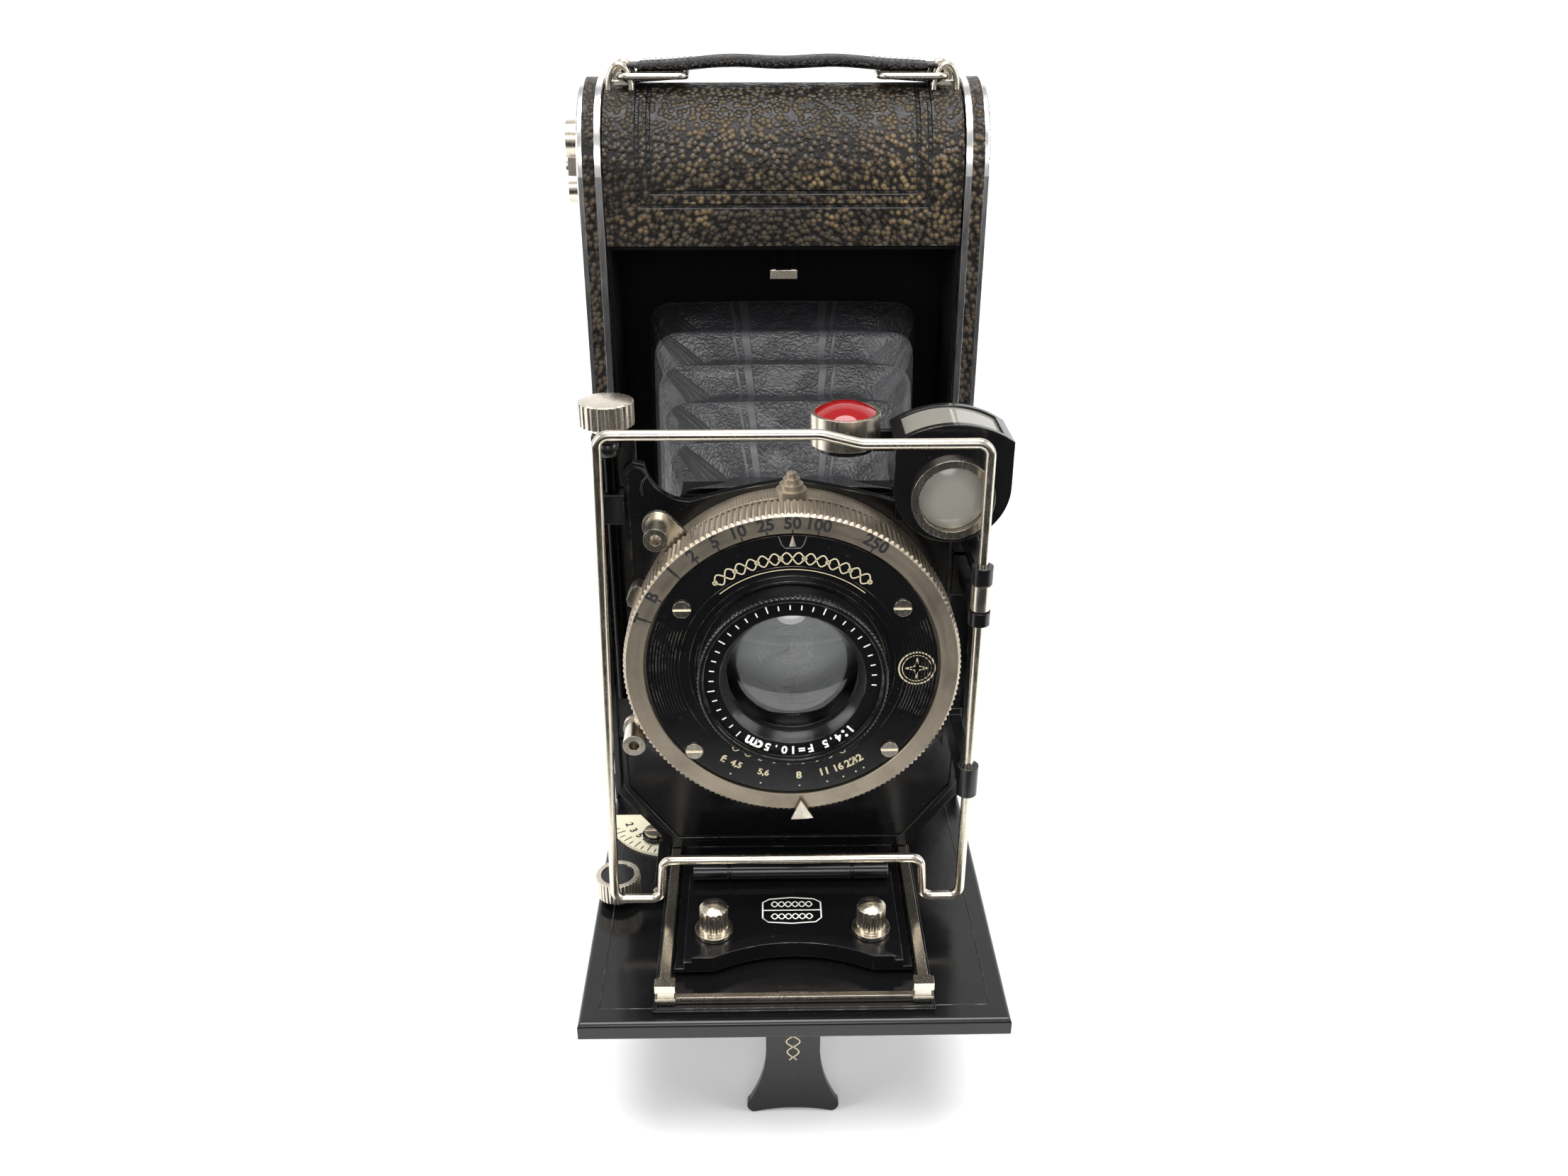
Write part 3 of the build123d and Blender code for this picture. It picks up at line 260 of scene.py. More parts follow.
def bellows_material():
    """Charcoal leatherette whose coordinates are shares of the bellows' half width across and length along:
    patchy fine grain with painted shade in its hollows, two smooth pressed bands each side of the middle,
    and every other ridge rubbed grey."""
    s = Shader("bellows_leatherette", (0.03, 0.03, 0.032), 0.55, Specular_IOR_Level=0.4)
    uv = s.node("ShaderNodeUVMap", uv_map="cloth").outputs[0]
    across, along, _ = s.axes(uv)
    bands = []
    for middle, outside, inside in PRESSED_BANDS:
        from_middle = s.math("ABSOLUTE", s.math("SUBTRACT", s.math("ABSOLUTE", across), middle))
        bands.append(s.ramp(from_middle, outside, inside))
    band = s.math("MAXIMUM", *bands)
    place = s.stretch(24.0, 81.0, 1.0, uv)      # about mm, from a half width and the length
    grain = s.math("MULTIPLY", s.ramp(s.cells(2.1, place, "SMOOTH_F1"), 0.15, 0.75),
                   s.ramp(s.noise(0.14, 3.0, 0.6, place), 0.4, 0.6, 0.2, 1.0))
    grain = s.math("MULTIPLY", grain, s.ramp(band, 0.0, 1.0, 1.0, 0.0))
    ridges = s.math("ADD", s.math("MULTIPLY", along, FOLDS / 2), -0.5)
    crease = s.ramp(s.math("PINGPONG", ridges, 1.0), 0.035, 0.0)
    rubbed = s.math("MULTIPLY", crease, s.ramp(s.noise(0.6, 3.0, 0.7, place), 0.35, 0.65))
    cloud = s.ramp(s.noise(0.35, 5.0, 0.75, place), 0.3, 0.7)
    tone = s.mix(cloud, (0.004, 0.004, 0.005), (0.015, 0.015, 0.017))
    # Painted shade: the grain's hollows are darkened.
    tone = s.mix(s.math("MULTIPLY", s.ramp(grain, 0.2, 0.9), 0.4), tone, (0.006, 0.006, 0.007))
    tone = s.mix(s.math("MULTIPLY", band, 0.35), tone, (0.035, 0.035, 0.037))
    tone = s.mix(s.math("MULTIPLY", rubbed, 0.45), tone, (0.09, 0.085, 0.078))
    s.set("Base Color", tone)
    s.set("Roughness", s.ramp(grain, 0.1, 0.8, 0.42, 0.6))
    s.set("Normal", s.bump(grain, 0.9, -0.00028))
    return s.mat


def wood_material():
    """Turned wood whose grain runs along X, as on the spools."""
    s = Shader("turned_wood", (0.2, 0.11, 0.05), 0.55)
    rings = s.noise(900.0, 3.0, 0.6, s.stretch(0.05, 1.0, 1.0))
    s.set("Base Color", s.mix(rings, (0.13, 0.065, 0.03), (0.3, 0.18, 0.09)))
    s.set("Roughness", s.ramp(rings, 0.3, 0.7, 0.45, 0.62))
    s.set("Normal", s.bump(rings, 0.2, 0.0001))
    return s.mat


MATERIALS = {
    "leather": leather("pebbled_leather", (0.03, 0.021, 0.011), (0.46, 0.3, 0.12), cell=900.0,
                       wear_low=0.143, wear_high=0.163, rough=0.34, framed=True),
    "strap_leather": leather("strap_hide", (0.016, 0.013, 0.011), (0.3, 0.22, 0.13), cell=1700.0,
                             wear_low=0.0, wear_high=0.001, rough=0.4),
    "bellows_leather": bellows_material(),
    "black_enamel": enamel("stoved_enamel"),
    "black_matte": painted("matt_black", (0.003, 0.003, 0.0034), 0.9, 0.4, 400.0, 0.1),
    "blade_steel": plated("blade_steel", (0.1, 0.1, 0.1), 0.3, "lathe", 0.05),
    "nickel": plated("warm_nickel", (0.66, 0.6, 0.5), 0.22, tarnish=0.12),
    "shutter_nickel": plated("lathed_nickel", (0.46, 0.395, 0.305), 0.4, "lathe"),
    "bright_rim": plated("polished_rim", (0.88, 0.87, 0.84), 0.17, "long", 0.12),
    "steel": plated("blued_steel", (0.33, 0.33, 0.34), 0.33),
    "spool_wood": wood_material(),
    "scale_ivory": painted("aged_ivory", (0.72, 0.68, 0.5), 0.5, 0.12, 250.0),
    "optical_glass": glassy("coated_glass", (0.97, 0.98, 0.97), 1.0),
    "frosted_glass": glassy("finder_glass", (0.23, 0.22, 0.19), 0.2, 0.12),
    "red_glass": glassy("ruby_glass", (0.2, 0.001, 0.002), 0.0, 0.06),
    "mirror": plated("silvered_glass", (0.86, 0.87, 0.86), 0.05, tarnish=0.1),
    "white_ink": painted("engraving_white", (0.78, 0.76, 0.7), 0.6),
    "gold_ink": painted("engraving_gold", (0.5, 0.44, 0.28), 0.5),
    "black_ink": painted("engraving_black", (0.008, 0.008, 0.008), 0.6, 0.4),
}

# CAD nodes come with their slot's name as their material's; four look unlike the rest of their slot.
for node in NODES.values():
    node.data.materials[0] = MATERIALS[node.data.materials[0].name.split(".")[0]]
NODES["rise_knob"].data.materials[0] = plated("knob_nickel", (0.7, 0.64, 0.54), 0.24, below=118.3)
NODES["door_catch"].data.materials[0] = plated("catch_nickel", (0.78, 0.72, 0.62), 0.24, above=129.56)
NODES["finder_ring"].data.materials[0] = MATERIALS["nickel"]
NODES["finder_glasses"].data.materials[0] = MATERIALS["frosted_glass"]


# ---------------------------------------------------------------- mesh helpers
def at(x, d, z):
    """A point in metres from x, the depth d in front of the body and z, all in mm."""
    return (x * MM, (FRONT_Y - d) * MM, z * MM)


def piece(name, parts, body, look, sharp=35.0, stands_for=()):
    """The gathered parts as one mesh piece, smooth but for edges over the sharp angle, riding on a body. The
    faces of a closed one are turned to look outwards."""
    mesh = bpy.data.meshes.new(name)
    mesh.from_pydata(parts.verts, [], parts.faces)
    mesh.validate()
    shape = bmesh.new()
    shape.from_mesh(mesh)
    if all(edge.is_manifold for edge in shape.edges):
        bmesh.ops.recalc_face_normals(shape, faces=shape.faces)
        shape.to_mesh(mesh)
    shape.free()
    mesh.shade_smooth()
    mesh.set_sharp_from_angle(angle=radians(sharp))
    made = bpy.data.objects.new(name, mesh)
    bpy.context.scene.collection.objects.link(made)
    mesh.materials.append(MATERIALS[look])
    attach(made, body)
    if stands_for:
        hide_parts(*stands_for)
    return made


def edge_steps(points, width):
    """For each (u, v) point of a line, (u, v, du, dv) with the step from the line's middle to its edge."""
    steps = []
    for i, (u, v) in enumerate(points):
        u0, v0 = points[max(i - 1, 0)]
        u1, v1 = points[min(i + 1, len(points) - 1)]
        length = hypot(u1 - u0, v1 - v0) or 1.0
        steps.append((u, v, -(v1 - v0) / length * width / 2, (u1 - u0) / length * width / 2))
    return steps


def toothed(profile, i, depth, tooth_from):
    """A (radius, place) profile at the i-th step of a turn, cut beyond tooth_from for two steps of four."""
    return [(r - (depth if i % 4 in (0, 3) and r > tooth_from else 0), place) for r, place in profile]


class Parts:
    """Gathers points and faces of several shapes for one piece."""

    def __init__(self):
        self.verts, self.faces = [], []

    def add(self, verts, faces):
        first = len(self.verts)
        self.verts += verts
        self.faces += [tuple(first + i for i in f) for f in faces]
        return self

    def grid(self, rows, close_rows=False, close_cols=False, flip=False):
        """Quads over rows of equally many points."""
        n, m = len(rows), len(rows[0])
        faces = []
        for i in range(n if close_rows else n - 1):
            for j in range(m if close_cols else m - 1):
                a, b = i * m + j, i * m + (j + 1) % m
                c, d = (i + 1) % n * m + (j + 1) % m, (i + 1) % n * m + j
                faces.append((a, d, c, b) if flip else (a, b, c, d))
        return self.add([p for row in rows for p in row], faces)

    def tube(self, rings):
        """Quads over rings of equally many points, closed by the first ring and the last."""
        first, count = len(self.verts), len(rings[0])
        self.grid(rings, close_cols=True)
        last = len(self.verts) - count
        self.faces += [tuple(range(first, first + count)), tuple(range(last, last + count))]
        return self

    def lathe_y(self, profile, count, teeth=0.0, tooth_from=0.0, x=0.0, z=AXIS_Z):
        """A closed (r, d) profile turned about an axis along Y; points beyond tooth_from get teeth."""
        rows = []
        for i in range(count):
            turn = 2 * pi * i / count
            rows.append([at(x + r * sin(turn), d, z + r * cos(turn))
                         for r, d in toothed(profile, i, teeth, tooth_from)])
        return self.grid(rows, True, True)

    def lathe_z(self, profile, count, x, d):
        """A closed (r, z) profile turned about a vertical axis."""
        rows = []
        for i in range(count):
            turn = 2 * pi * i / count
            rows.append([at(x + r * cos(turn), d + r * sin(turn), z) for r, z in profile])
        return self.grid(rows, True, True)

    def strip(self, points, width, d, lift=0.03):
        """A flat raised line of (x, z) points on a face that looks along -Y at depth d."""
        taper = 0.8
        return self.grid([[at(x + nx, d, z + nz), at(x + nx * taper, d + lift, z + nz * taper),
                           at(x - nx * taper, d + lift, z - nz * taper), at(x - nx, d, z - nz)]
                          for x, z, nx, nz in edge_steps(points, width)])

    def level_strip(self, points, z, width, lift):
        """A raised line of (x, d) points on a level face at height z."""
        taper = 0.6
        return self.grid([[at(x + nx, d + nd, z), at(x + nx * taper, d + nd * taper, z + lift),
                           at(x - nx * taper, d - nd * taper, z + lift), at(x - nx, d - nd, z)]
                          for x, d, nx, nd in edge_steps(points, width)])


GLYPHS = {}


def glyph_mesh(text):
    """The filled outline of a text, one unit high and centred, as (points, faces)."""
    if text not in GLYPHS:
        curve = bpy.data.curves.new("text", "FONT")
        curve.body = text
        curve.align_x, curve.align_y = "CENTER", "CENTER"
        curve.resolution_u = 3
        curve.offset = 0.034
        held = bpy.data.objects.new("text", curve)
        bpy.context.scene.collection.objects.link(held)
        mesh = bpy.data.meshes.new_from_object(held.evaluated_get(bpy.context.evaluated_depsgraph_get()))
        points = [v.co.copy() for v in mesh.vertices]
        low = min(p.y for p in points)
        high = max(p.y for p in points)
        mid = (min(p.x for p in points) + max(p.x for p in points)) / 2
        scale = 1 / (high - low)
        points = [((p.x - mid) * scale, (p.y - (low + high) / 2) * scale) for p in points]
        GLYPHS[text] = points, [tuple(f.vertices) for f in mesh.polygons]
        bpy.data.objects.remove(held)
    return GLYPHS[text]


def write_front(parts, text, height, x, z, d, turn=0.0):
    """Text on a face that looks along -Y; turn is in degrees anticlockwise as seen from the front."""
    points, faces = glyph_mesh(text)
    c, s = cos(radians(turn)), sin(radians(turn))
    parts.add([at(x + height * (u * c - v * s), d, z + height * (u * s + v * c)) for u, v in points], faces)


def write_top(parts, text, height, x, d, z, turn=0.0):
    """Text on a face that looks up, read from the front at turn 0."""
    points, faces = glyph_mesh(text)
    c, s = cos(radians(turn)), sin(radians(turn))
    parts.add([at(x + height * (u * c - v * s), d - height * (u * s + v * c), z) for u, v in points], faces)


def write_round(parts, text, height, radius, angle, d, outward=True):
    """Text on a circle about the lens axis, its middle at angle degrees anticlockwise from the top."""
    a = radians(angle)
    turn = angle if outward else angle + 180
    write_front(parts, text, height, -radius * sin(a), AXIS_Z + radius * cos(a), d, turn)


def tick_round(parts, angle, r0, r1, width, d):
    """A short line out from the lens axis, from r0 to r1, at angle degrees anticlockwise from the top."""
    a = radians(angle)
    parts.strip([(-r0 * sin(a), AXIS_Z + r0 * cos(a)), (-r1 * sin(a), AXIS_Z + r1 * cos(a))], width, d, 0.02)


def arc(radius, start, end, count, x=0.0, z=AXIS_Z, wave=0.0, waves=0.0):
    """(x, z) points on an arc, in degrees anticlockwise from the top, with an optional radial wave."""
    points = []
    for i in range(count + 1):
        share = i / count
        a = radians(start + (end - start) * share)
        r = radius + wave * sin(2 * pi * waves * share)
        points.append((x - r * sin(a), z + r * cos(a)))
    return points


# ---------------------------------------------------------------- bellows
CLOTH_REAR = (-21.1, 29.5, 39.5)      # depth, half width and half height of the rear end
CLOTH_FRONT = (59.9, 19.2, 24.6)      # the same of the front end
VALLEY = 2.3                          # how far a valley lies inside a ridge
UNEVEN, UNEVEN_D = 0.08, 0.25         # random shifts of the cloth's points, across and along


def make_bellows():
    """Pleated leatherette tube: ridges with square corners, valleys with cut corners, slightly uneven."""
    (rear_d, rear_a, rear_b), (front_d, front_a, front_b) = CLOTH_REAR, CLOTH_FRONT
    rows, marks = [], []
    steps = FOLDS * 4
    for k in range(steps + 1):
        share = k / steps
        d = rear_d + (front_d - rear_d) * share
        phase = abs((k / 4) % 2 - 1)
        depth = phase ** 0.8
        a = rear_a + (front_a - rear_a) * share - VALLEY * depth
        b = rear_b + (front_b - rear_b) * share - VALLEY * depth
        cut = 2.0 + 6.0 * depth
        row, mark = [], []
        corners = [(-a + cut, b), (a - cut, b), (a, b - cut), (a, -b + cut), (a - cut, -b), (-a + cut, -b),
                   (-a, -b + cut), (-a, b - cut)]
        for i, (x0, z0) in enumerate(corners):
            x1, z1 = corners[(i + 1) % 8]
            side, is_corner = i // 2, i % 2
            count = 2 if is_corner else 10
            for j in range(count):
                u = j / count
                x, z = x0 + (x1 - x0) * u, z0 + (z1 - z0) * u
                sag = 0.0 if is_corner else 0.35 * sin(pi * u) * (1 - 2 * phase)
                x += (0, sag, 0, -sag)[side] + random.uniform(-UNEVEN, UNEVEN)
                z += (sag, 0, -sag, 0)[side] + random.uniform(-UNEVEN, UNEVEN)
                row.append(at(x, d + random.uniform(-UNEVEN_D, UNEVEN_D), AXIS_Z + z))
                mark.append((x / a if side in (0, 2) else 1.02 + z / b, share))
        rows.append(row)
        marks.append(mark)
    cloth = Parts().grid(rows, False, True, True)
    made = piece("bellows_cloth", cloth, "root", "bellows_leather", 24.0, ["bellows"])
    layer = made.data.uv_layers.new(name="cloth")
    flat = [m for row in marks for m in row]
    for loop in made.data.loops:
        layer.data[loop.index].uv = flat[loop.vertex_index]
    shell = made.modifiers.new("thickness", "SOLIDIFY")
    shell.thickness = 0.5 * MM
    shell.offset = -1
    smooth = made.modifiers.new("smooth", "SUBSURF")
    smooth.levels = smooth.render_levels = 1
    evaluated = made.evaluated_get(bpy.context.evaluated_depsgraph_get())
    made.data = bpy.data.meshes.new_from_object(evaluated)
    made.modifiers.clear()
    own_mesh(made)


# ---------------------------------------------------------------- shutter face
# Dial figures with their angles in degrees anticlockwise from the top.
BULB_AND_TIME = [("T", 68.4), ("B", 58.7)]
SPEEDS = [("1", 46.7), ("2", 37.4), ("5", 28.0), ("10", 18.7), ("25", 9.4), ("50", 0.0), ("100", -9.4),
          ("250", -30.1)]
APERTURES = [("4,5", 152.6), ("5,6", 166.4), ("8", 183.3), ("11", 195.4), ("16", 202.7), ("22", 208.6),
             ("32", 212.4)]
RING_FACE_D = 77.905     # just in front of the speed ring's face
GROOVE_D = 77.46         # raised lines start a little behind the face plate's front
ORNAMENT_D = 77.49
FIGURES_D = 77.51        # flat figures lie a little before it
APERTURE_R = 20.3        # radius the aperture figures stand on
CHAIN_R, CHAIN_HALF = 19.6, 38        # radius of the chain of lozenges and half its angle
BADGE_X = 20.1           # middle of the round ornament beside the lens


def make_speed_ring():
    """The milled ring round the face plate, with the speeds on its front."""
    profile = [(23.85, 76.9), (23.85, 77.75), (24.0, 77.9), (26.7, 77.9), (27.2, 77.5), (27.2, 71.9),
               (26.45, 71.9), (26.45, 76.9)]
    ring = Parts().lathe_y(profile, 680, 0.3, 27.0)
    piece("speed_ring_milled", ring, "speed_ring", "shutter_nickel", 30, ["speed_ring"])
    marks = Parts()
    for text, angle in BULB_AND_TIME:
        a = radians(angle)
        write_front(marks, text, 2.05, -25.7 * sin(a), AXIS_Z + 25.7 * cos(a), RING_FACE_D, angle)
        tick_round(marks, angle, 23.95, 24.6, 0.3, RING_FACE_D - 0.01)
    for text, angle in SPEEDS:
        write_round(marks, text, 2.1, 25.65, angle, RING_FACE_D)
        tick_round(marks, angle, 23.95, 24.6, 0.3, RING_FACE_D - 0.01)
    piece("speed_figures", marks, "speed_ring", "black_ink")


def make_case_knurling():
    """Fine teeth round the rear of the shutter case."""
    r, d0, d1, bevel = 26.2, 64.1, 68.6, 0.15
    profile = [(r - 0.5, d0), (r, d0 + bevel), (r, d1 - bevel), (r - 0.5, d1)]
    knurl = Parts().lathe_y(profile, 1280, 0.16, r - 0.1)
    piece("case_knurling", knurl, "lens_board", "shutter_nickel", 20)


def make_aperture_figures():
    """The aperture figures, each with a dot outside it."""
    plate = Parts()
    dot_r, dot_size = 22.4, 0.16
    for text, angle in APERTURES:
        write_round(plate, text, 1.45, APERTURE_R, angle, FIGURES_D, False)
        a = radians(angle)
        dot = [(-dot_r * sin(a) + dot_size * cos(b), AXIS_Z + dot_r * cos(a) + dot_size * sin(b))
               for b in (k * pi / 4 for k in range(8))]
        plate.add([at(x, FIGURES_D, z) for x, z in dot], [tuple(range(8))])
    write_round(plate, "f:", 1.45, APERTURE_R, 146.0, FIGURES_D, False)
    piece("aperture_figures", plate, "lens_board", "gold_ink")


def make_face_ornament():
    """A chain of lozenges over the lens, a wavy line under it, and a star in a ring beside it."""
    scroll = Parts()
    for wave in (0.95, -0.95):
        scroll.strip(arc(CHAIN_R, CHAIN_HALF, -CHAIN_HALF, 120, wave=wave, waves=7), 0.24, ORNAMENT_D)
    scroll.strip(arc(17.7, 40, -40, 60), 0.16, ORNAMENT_D)
    for k in range(8):
        a = radians(CHAIN_HALF - 2 * CHAIN_HALF * k / 7)
        scroll.strip(arc(0.34, 0, 360, 10, -CHAIN_R * sin(a), AXIS_Z + CHAIN_R * cos(a)), 0.2, ORNAMENT_D)
    scroll.strip(arc(17.6, 146, 214, 90, wave=0.5, waves=9), 0.2, ORNAMENT_D)
    for radius, width in ((2.9, 0.28), (2.35, 0.14)):
        scroll.strip(arc(radius, 0, 360, 48, BADGE_X, AXIS_Z), width, ORNAMENT_D)
    for turn in (0, 90, 180, 270):
        a, b = radians(turn), radians(turn + 90)
        points = ((1.9, a), (0.5, (a + b) / 2), (1.9, b))
        scroll.strip([(BADGE_X + r * cos(v), AXIS_Z + r * sin(v)) for r, v in points], 0.22, ORNAMENT_D)
    piece("face_ornament", scroll, "lens_board", "gold_ink")


def make_face_grooves():
    """Fine turned rings on the face plate, in full and in two sectors."""
    rings = Parts()
    for radius in (15.6, 16.6, 18.2):
        rings.strip(arc(radius, 0, 360, 96), 0.14, GROOVE_D, 0.1)
    for start in (64, 244):
        for k in range(9):
            rings.strip(arc(18.9 + 0.5 * k, start + 3, start + 49, 40), 0.2, GROOVE_D, 0.11)
    piece("face_grooves", rings, "lens_board", "black_enamel")


def make_index():
    """The window in the face plate's edge under the speed figures, with its rim and a needle. Its dark recess
    is a flat black patch of painted shade.
    """
    foot = [(1.7, AXIS_Z + 21.9), (1.2, AXIS_Z + 21.3), (-1.2, AXIS_Z + 21.3), (-1.7, AXIS_Z + 21.9)]
    top = arc(23.4, 5.4, -5.4, 8)
    edge = top + foot
    # Painted shade: a flat black patch on the plate stands for the dark recess of the window.
    window = Parts().add([at(x, 77.52, z) for x, z in edge], [tuple(range(len(edge)))])
    piece("index_window_shade", window, "lens_board", "black_matte")
    rim = Parts().strip([top[0], *reversed(foot), top[-1]], 0.16, 77.5, 0.06)
    piece("index_rim", rim, "lens_board", "steel")
    points = [(-0.55, 77.55, 21.6), (0.55, 77.55, 21.6), (0, 77.55, 23.5), (0, 78.0, 21.8)]
    needle = Parts().add([at(x, d, AXIS_Z + z) for x, d, z in points], [(0, 3, 2), (1, 2, 3), (0, 1, 3)])
    piece("index_needle", needle, "lens_board", "nickel", 10)


# ---------------------------------------------------------------- lens
BEZEL_D = 81.2                        # the engraved face round the front glass
GLASS_D, GLASS_CURVE = 80.4, 26       # depth of the front glass's middle and the radius it is ground to
GLASS_THICK = 1.5


def make_lens_rim():
    """The milled edge of the lens bezel."""
    profile = [(14.2, 81.3), (14.2, 82.1), (14.35, 82.2), (14.9, 82.2), (15.2, 82.0), (15.2, 81.0),
               (14.9, 80.9), (14.4, 81.3)]
    rim = Parts().lathe_y(profile, 480, 0.16, 15.1)
    piece("lens_milled_rim", rim, "lens_board", "black_enamel", 25)


def make_lens_figures():
    """Focal length and speed under the glass, ticks over the rest of the ring."""
    text = Parts()
    heights, insets = {",": 0.5, "=": 0.7}, {",": -0.55}
    for word, start, step in (("F=10,5cm", 193, -6.3), ("1:4,5", 226, -5.4)):
        for k, letter in enumerate(word):
            write_round(text, letter, heights.get(letter, 1.5), 12.95 + insets.get(letter, 0.0),
                        -(360 - start) + step * k, BEZEL_D + 0.03)
    for k in range(30):
        tick_round(text, 138 - 8.0 * k, 12.55, 13.35 if k % 5 else 13.7, 0.2, BEZEL_D)
    piece("lens_figures", text, "lens_board", "white_ink")


def make_lens_glass():
    """A thin front glass with one curve on both faces, a flat rear one, and a black liner between them."""
    radii = (0.01, *(0.5 * k for k in range(1, 22)))
    front = [(r, GLASS_D - GLASS_CURVE + sqrt(GLASS_CURVE ** 2 - r ** 2)) for r in radii]
    back = [(r, d - GLASS_THICK) for r, d in reversed(front)]
    glass = Parts().lathe_y(front + back, 96)
    glass.lathe_y([(0.01, 62.6), (9.5, 62.6), (9.5, 58.6), (0.01, 58.6)], 48)
    piece("lens_elements", glass, "lens_board", "optical_glass", 30, ["lens_glasses"])
    liner = Parts().lathe_y([(11.97, 70.3), (11.97, 76.5), (11.6, 76.3), (11.5, 70.3)], 96)
    piece("case_liner", liner, "lens_board", "black_matte", 30)


def make_shutter_leaves():
    """Five closed leaves that overlap in a spiral, each a little in front of the last one's start."""
    leaves = Parts()
    for k in range(5):
        rows = []
        for i in range(17):
            share = i / 16
            turned = [(r, radians(72 * k + 84 * share + 2.4 * r)) for r in (0.02, 4, 8, 12, 15.4)]
            rows.append([at(r * sin(a), 70.0 + 0.16 * share, AXIS_Z + r * cos(a)) for r, a in turned])
        leaves.grid(rows)
    piece("shutter_leaves", leaves, "lens_board", "blade_steel", 20, ["iris_blades"])


# ---------------------------------------------------------------- strap
STRAP_HALF = 28.5        # half the strap's length between its folds
FOLD_X = 30.2            # where its ends fold under
WIRE_Z = 165.4           # height of the wire loops it folds round
EYE_X, EYE_Z = 32.0, 162.8


def strap_z(x):
    """Height of the strap's middle layer over x: a low arch with a slight wave."""
    return 166.6 + (1 - (abs(x) / 30) ** 3) * 1.15 - 0.2 * cos(x * 0.3)


def make_strap():
    """A flat leather strap with rounded edges and stitching, its ends folded under over the wire loops."""
    low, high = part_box("strap")
    low_y, high_y = low.y / MM, high.y / MM
    mid_d, half = FRONT_Y - (low_y + high_y) / 2, (high_y - low_y) / 2
    make_strap_hide(mid_d, half)
    for side, name in ((-1, "strap_fold_left"), (1, "strap_fold_right")):
        make_strap_fold(name, side, mid_d, half)
    make_strap_eyes(mid_d)
    make_strap_stitches(mid_d, half)


def make_strap_hide(mid_d, half):
    """The strap itself, from one fold to the other."""
    rings, count = [], 28
    for k in range(61):
        x = -STRAP_HALF + 2 * STRAP_HALF * k / 60
        z, thick = strap_z(x), 1.4 - 0.3 * (abs(x) / STRAP_HALF) ** 4
        ring = []
        for i in range(count):
            a = 2 * pi * i / count
            u, v = cos(a), sin(a)
            u = abs(u) ** 0.55 * (1 if u > 0 else -1)
            v = abs(v) ** 0.75 * (1 if v > 0 else -1)
            ring.append(at(x + 0.05 * sin(z * 9 + i), mid_d + u * half * (1 - 0.04 * sin(x * 0.7)),
                           z + v * thick * 0.82))
        rings.append(ring)
    piece("strap_hide", Parts().tube(rings), "root", "strap_leather", 50, ["strap"])


def make_strap_fold(name, side, mid_d, half):
    """One folded end: a run over the strap, a bend round the wire loop and a run back under it."""
    over = [(side * (FOLD_X - 0.9 * k), WIRE_Z + 1.7) for k in range(3, 0, -1)]
    bend = [(side * FOLD_X + side * 1.1 * sin(a), WIRE_Z + 0.35 + 1.35 * cos(a))
            for a in (pi * i / 14 for i in range(15))]
    under = [(side * (FOLD_X - 0.9 * k), WIRE_Z - 1.0 + 0.06 * k) for k in range(1, 13)]
    across = (-1, -0.96, -0.5, 0, 0.5, 0.96, 1)
    fold = Parts().grid([[at(x, mid_d + half * s * 0.96, z) for s in across] for x, z in over + bend + under])
    made = piece(name, fold, "root", "strap_leather", 60)
    shell = made.modifiers.new("hide", "SOLIDIFY")
    shell.thickness = 0.7 * MM
    shell.offset = 0
    round_edge = made.modifiers.new("round", "BEVEL")
    round_edge.width = 0.18 * MM
    round_edge.segments = 2


def make_strap_eyes(mid_d):
    """Half rings that stand in the body's top at both ends of the strap."""
    eyes = Parts()
    for side in (-1, 1):
        for d in (mid_d - 5.0, mid_d + 5.0):
            rings = []
            for a in (pi * i / 24 for i in range(25)):
                ring = []
                for b in (2 * pi * j / 10 for j in range(10)):
                    r = 2.3 + 0.62 * cos(b)
                    ring.append(at(side * EYE_X + r * cos(a), d + 0.75 * sin(b), EYE_Z + (r + 2.4) * sin(a)))
                rings.append(ring)
            eyes.tube(rings)
    piece("strap_eyes", eyes, "root", "nickel", 60)


def make_strap_stitches(mid_d, half):
    """Two rows of stitches over each folded end, each a low pyramid."""
    stitches = Parts()
    long, wide = 0.38, 0.11
    for side in (-1, 1):
        for row_d in (-half + 0.9, half - 0.9):
            for k in range(9):
                x = side * (18.5 + 1.15 * k)
                d, z = mid_d + row_d, strap_z(x) + 1.05
                stitches.add([at(x - long, d - wide, z), at(x + long, d - wide, z), at(x + long, d + wide, z),
                              at(x - long, d + wide, z), at(x, d, z + 0.14)],
                             [(0, 1, 4), (1, 2, 4), (2, 3, 4), (3, 0, 4)])
    piece("strap_stitches", stitches, "root", "black_matte")


# ---------------------------------------------------------------- inside the body
def make_bellows_frame():
    """The flat frame behind the bellows' rear end."""
    outer = [(-34.3, 33.0), (34.3, 33.0), (34.3, 133.6), (-34.3, 133.6)]
    inner = [(-26.0, 46.0), (26.0, 46.0), (26.0, 119.0), (-26.0, 119.0)]
    plate = Parts().add([at(x, -20.9, z) for x, z in outer + inner],
                        [(k, (k + 1) % 4, 4 + (k + 1) % 4, 4 + k) for k in range(4)])
    piece("bellows_frame", plate, "root", "black_matte")


# ---------------------------------------------------------------- carriage and bed
CARRIAGE_TOP = 35.4
SCALE_X, SCALE_D = -22.4, 46.3        # middle of the arcs on the distance scale
SCALE_FACE = 32.21
# Figure, degrees from straight ahead, its height and its own turn. An 8 on its side is infinity.
DISTANCES = [("2", 70, 1.6, 0), ("3", 57, 1.6, 0), ("5", 44, 1.6, 0), ("10", 31, 1.6, 0), ("8", 18, 1.2, 90)]


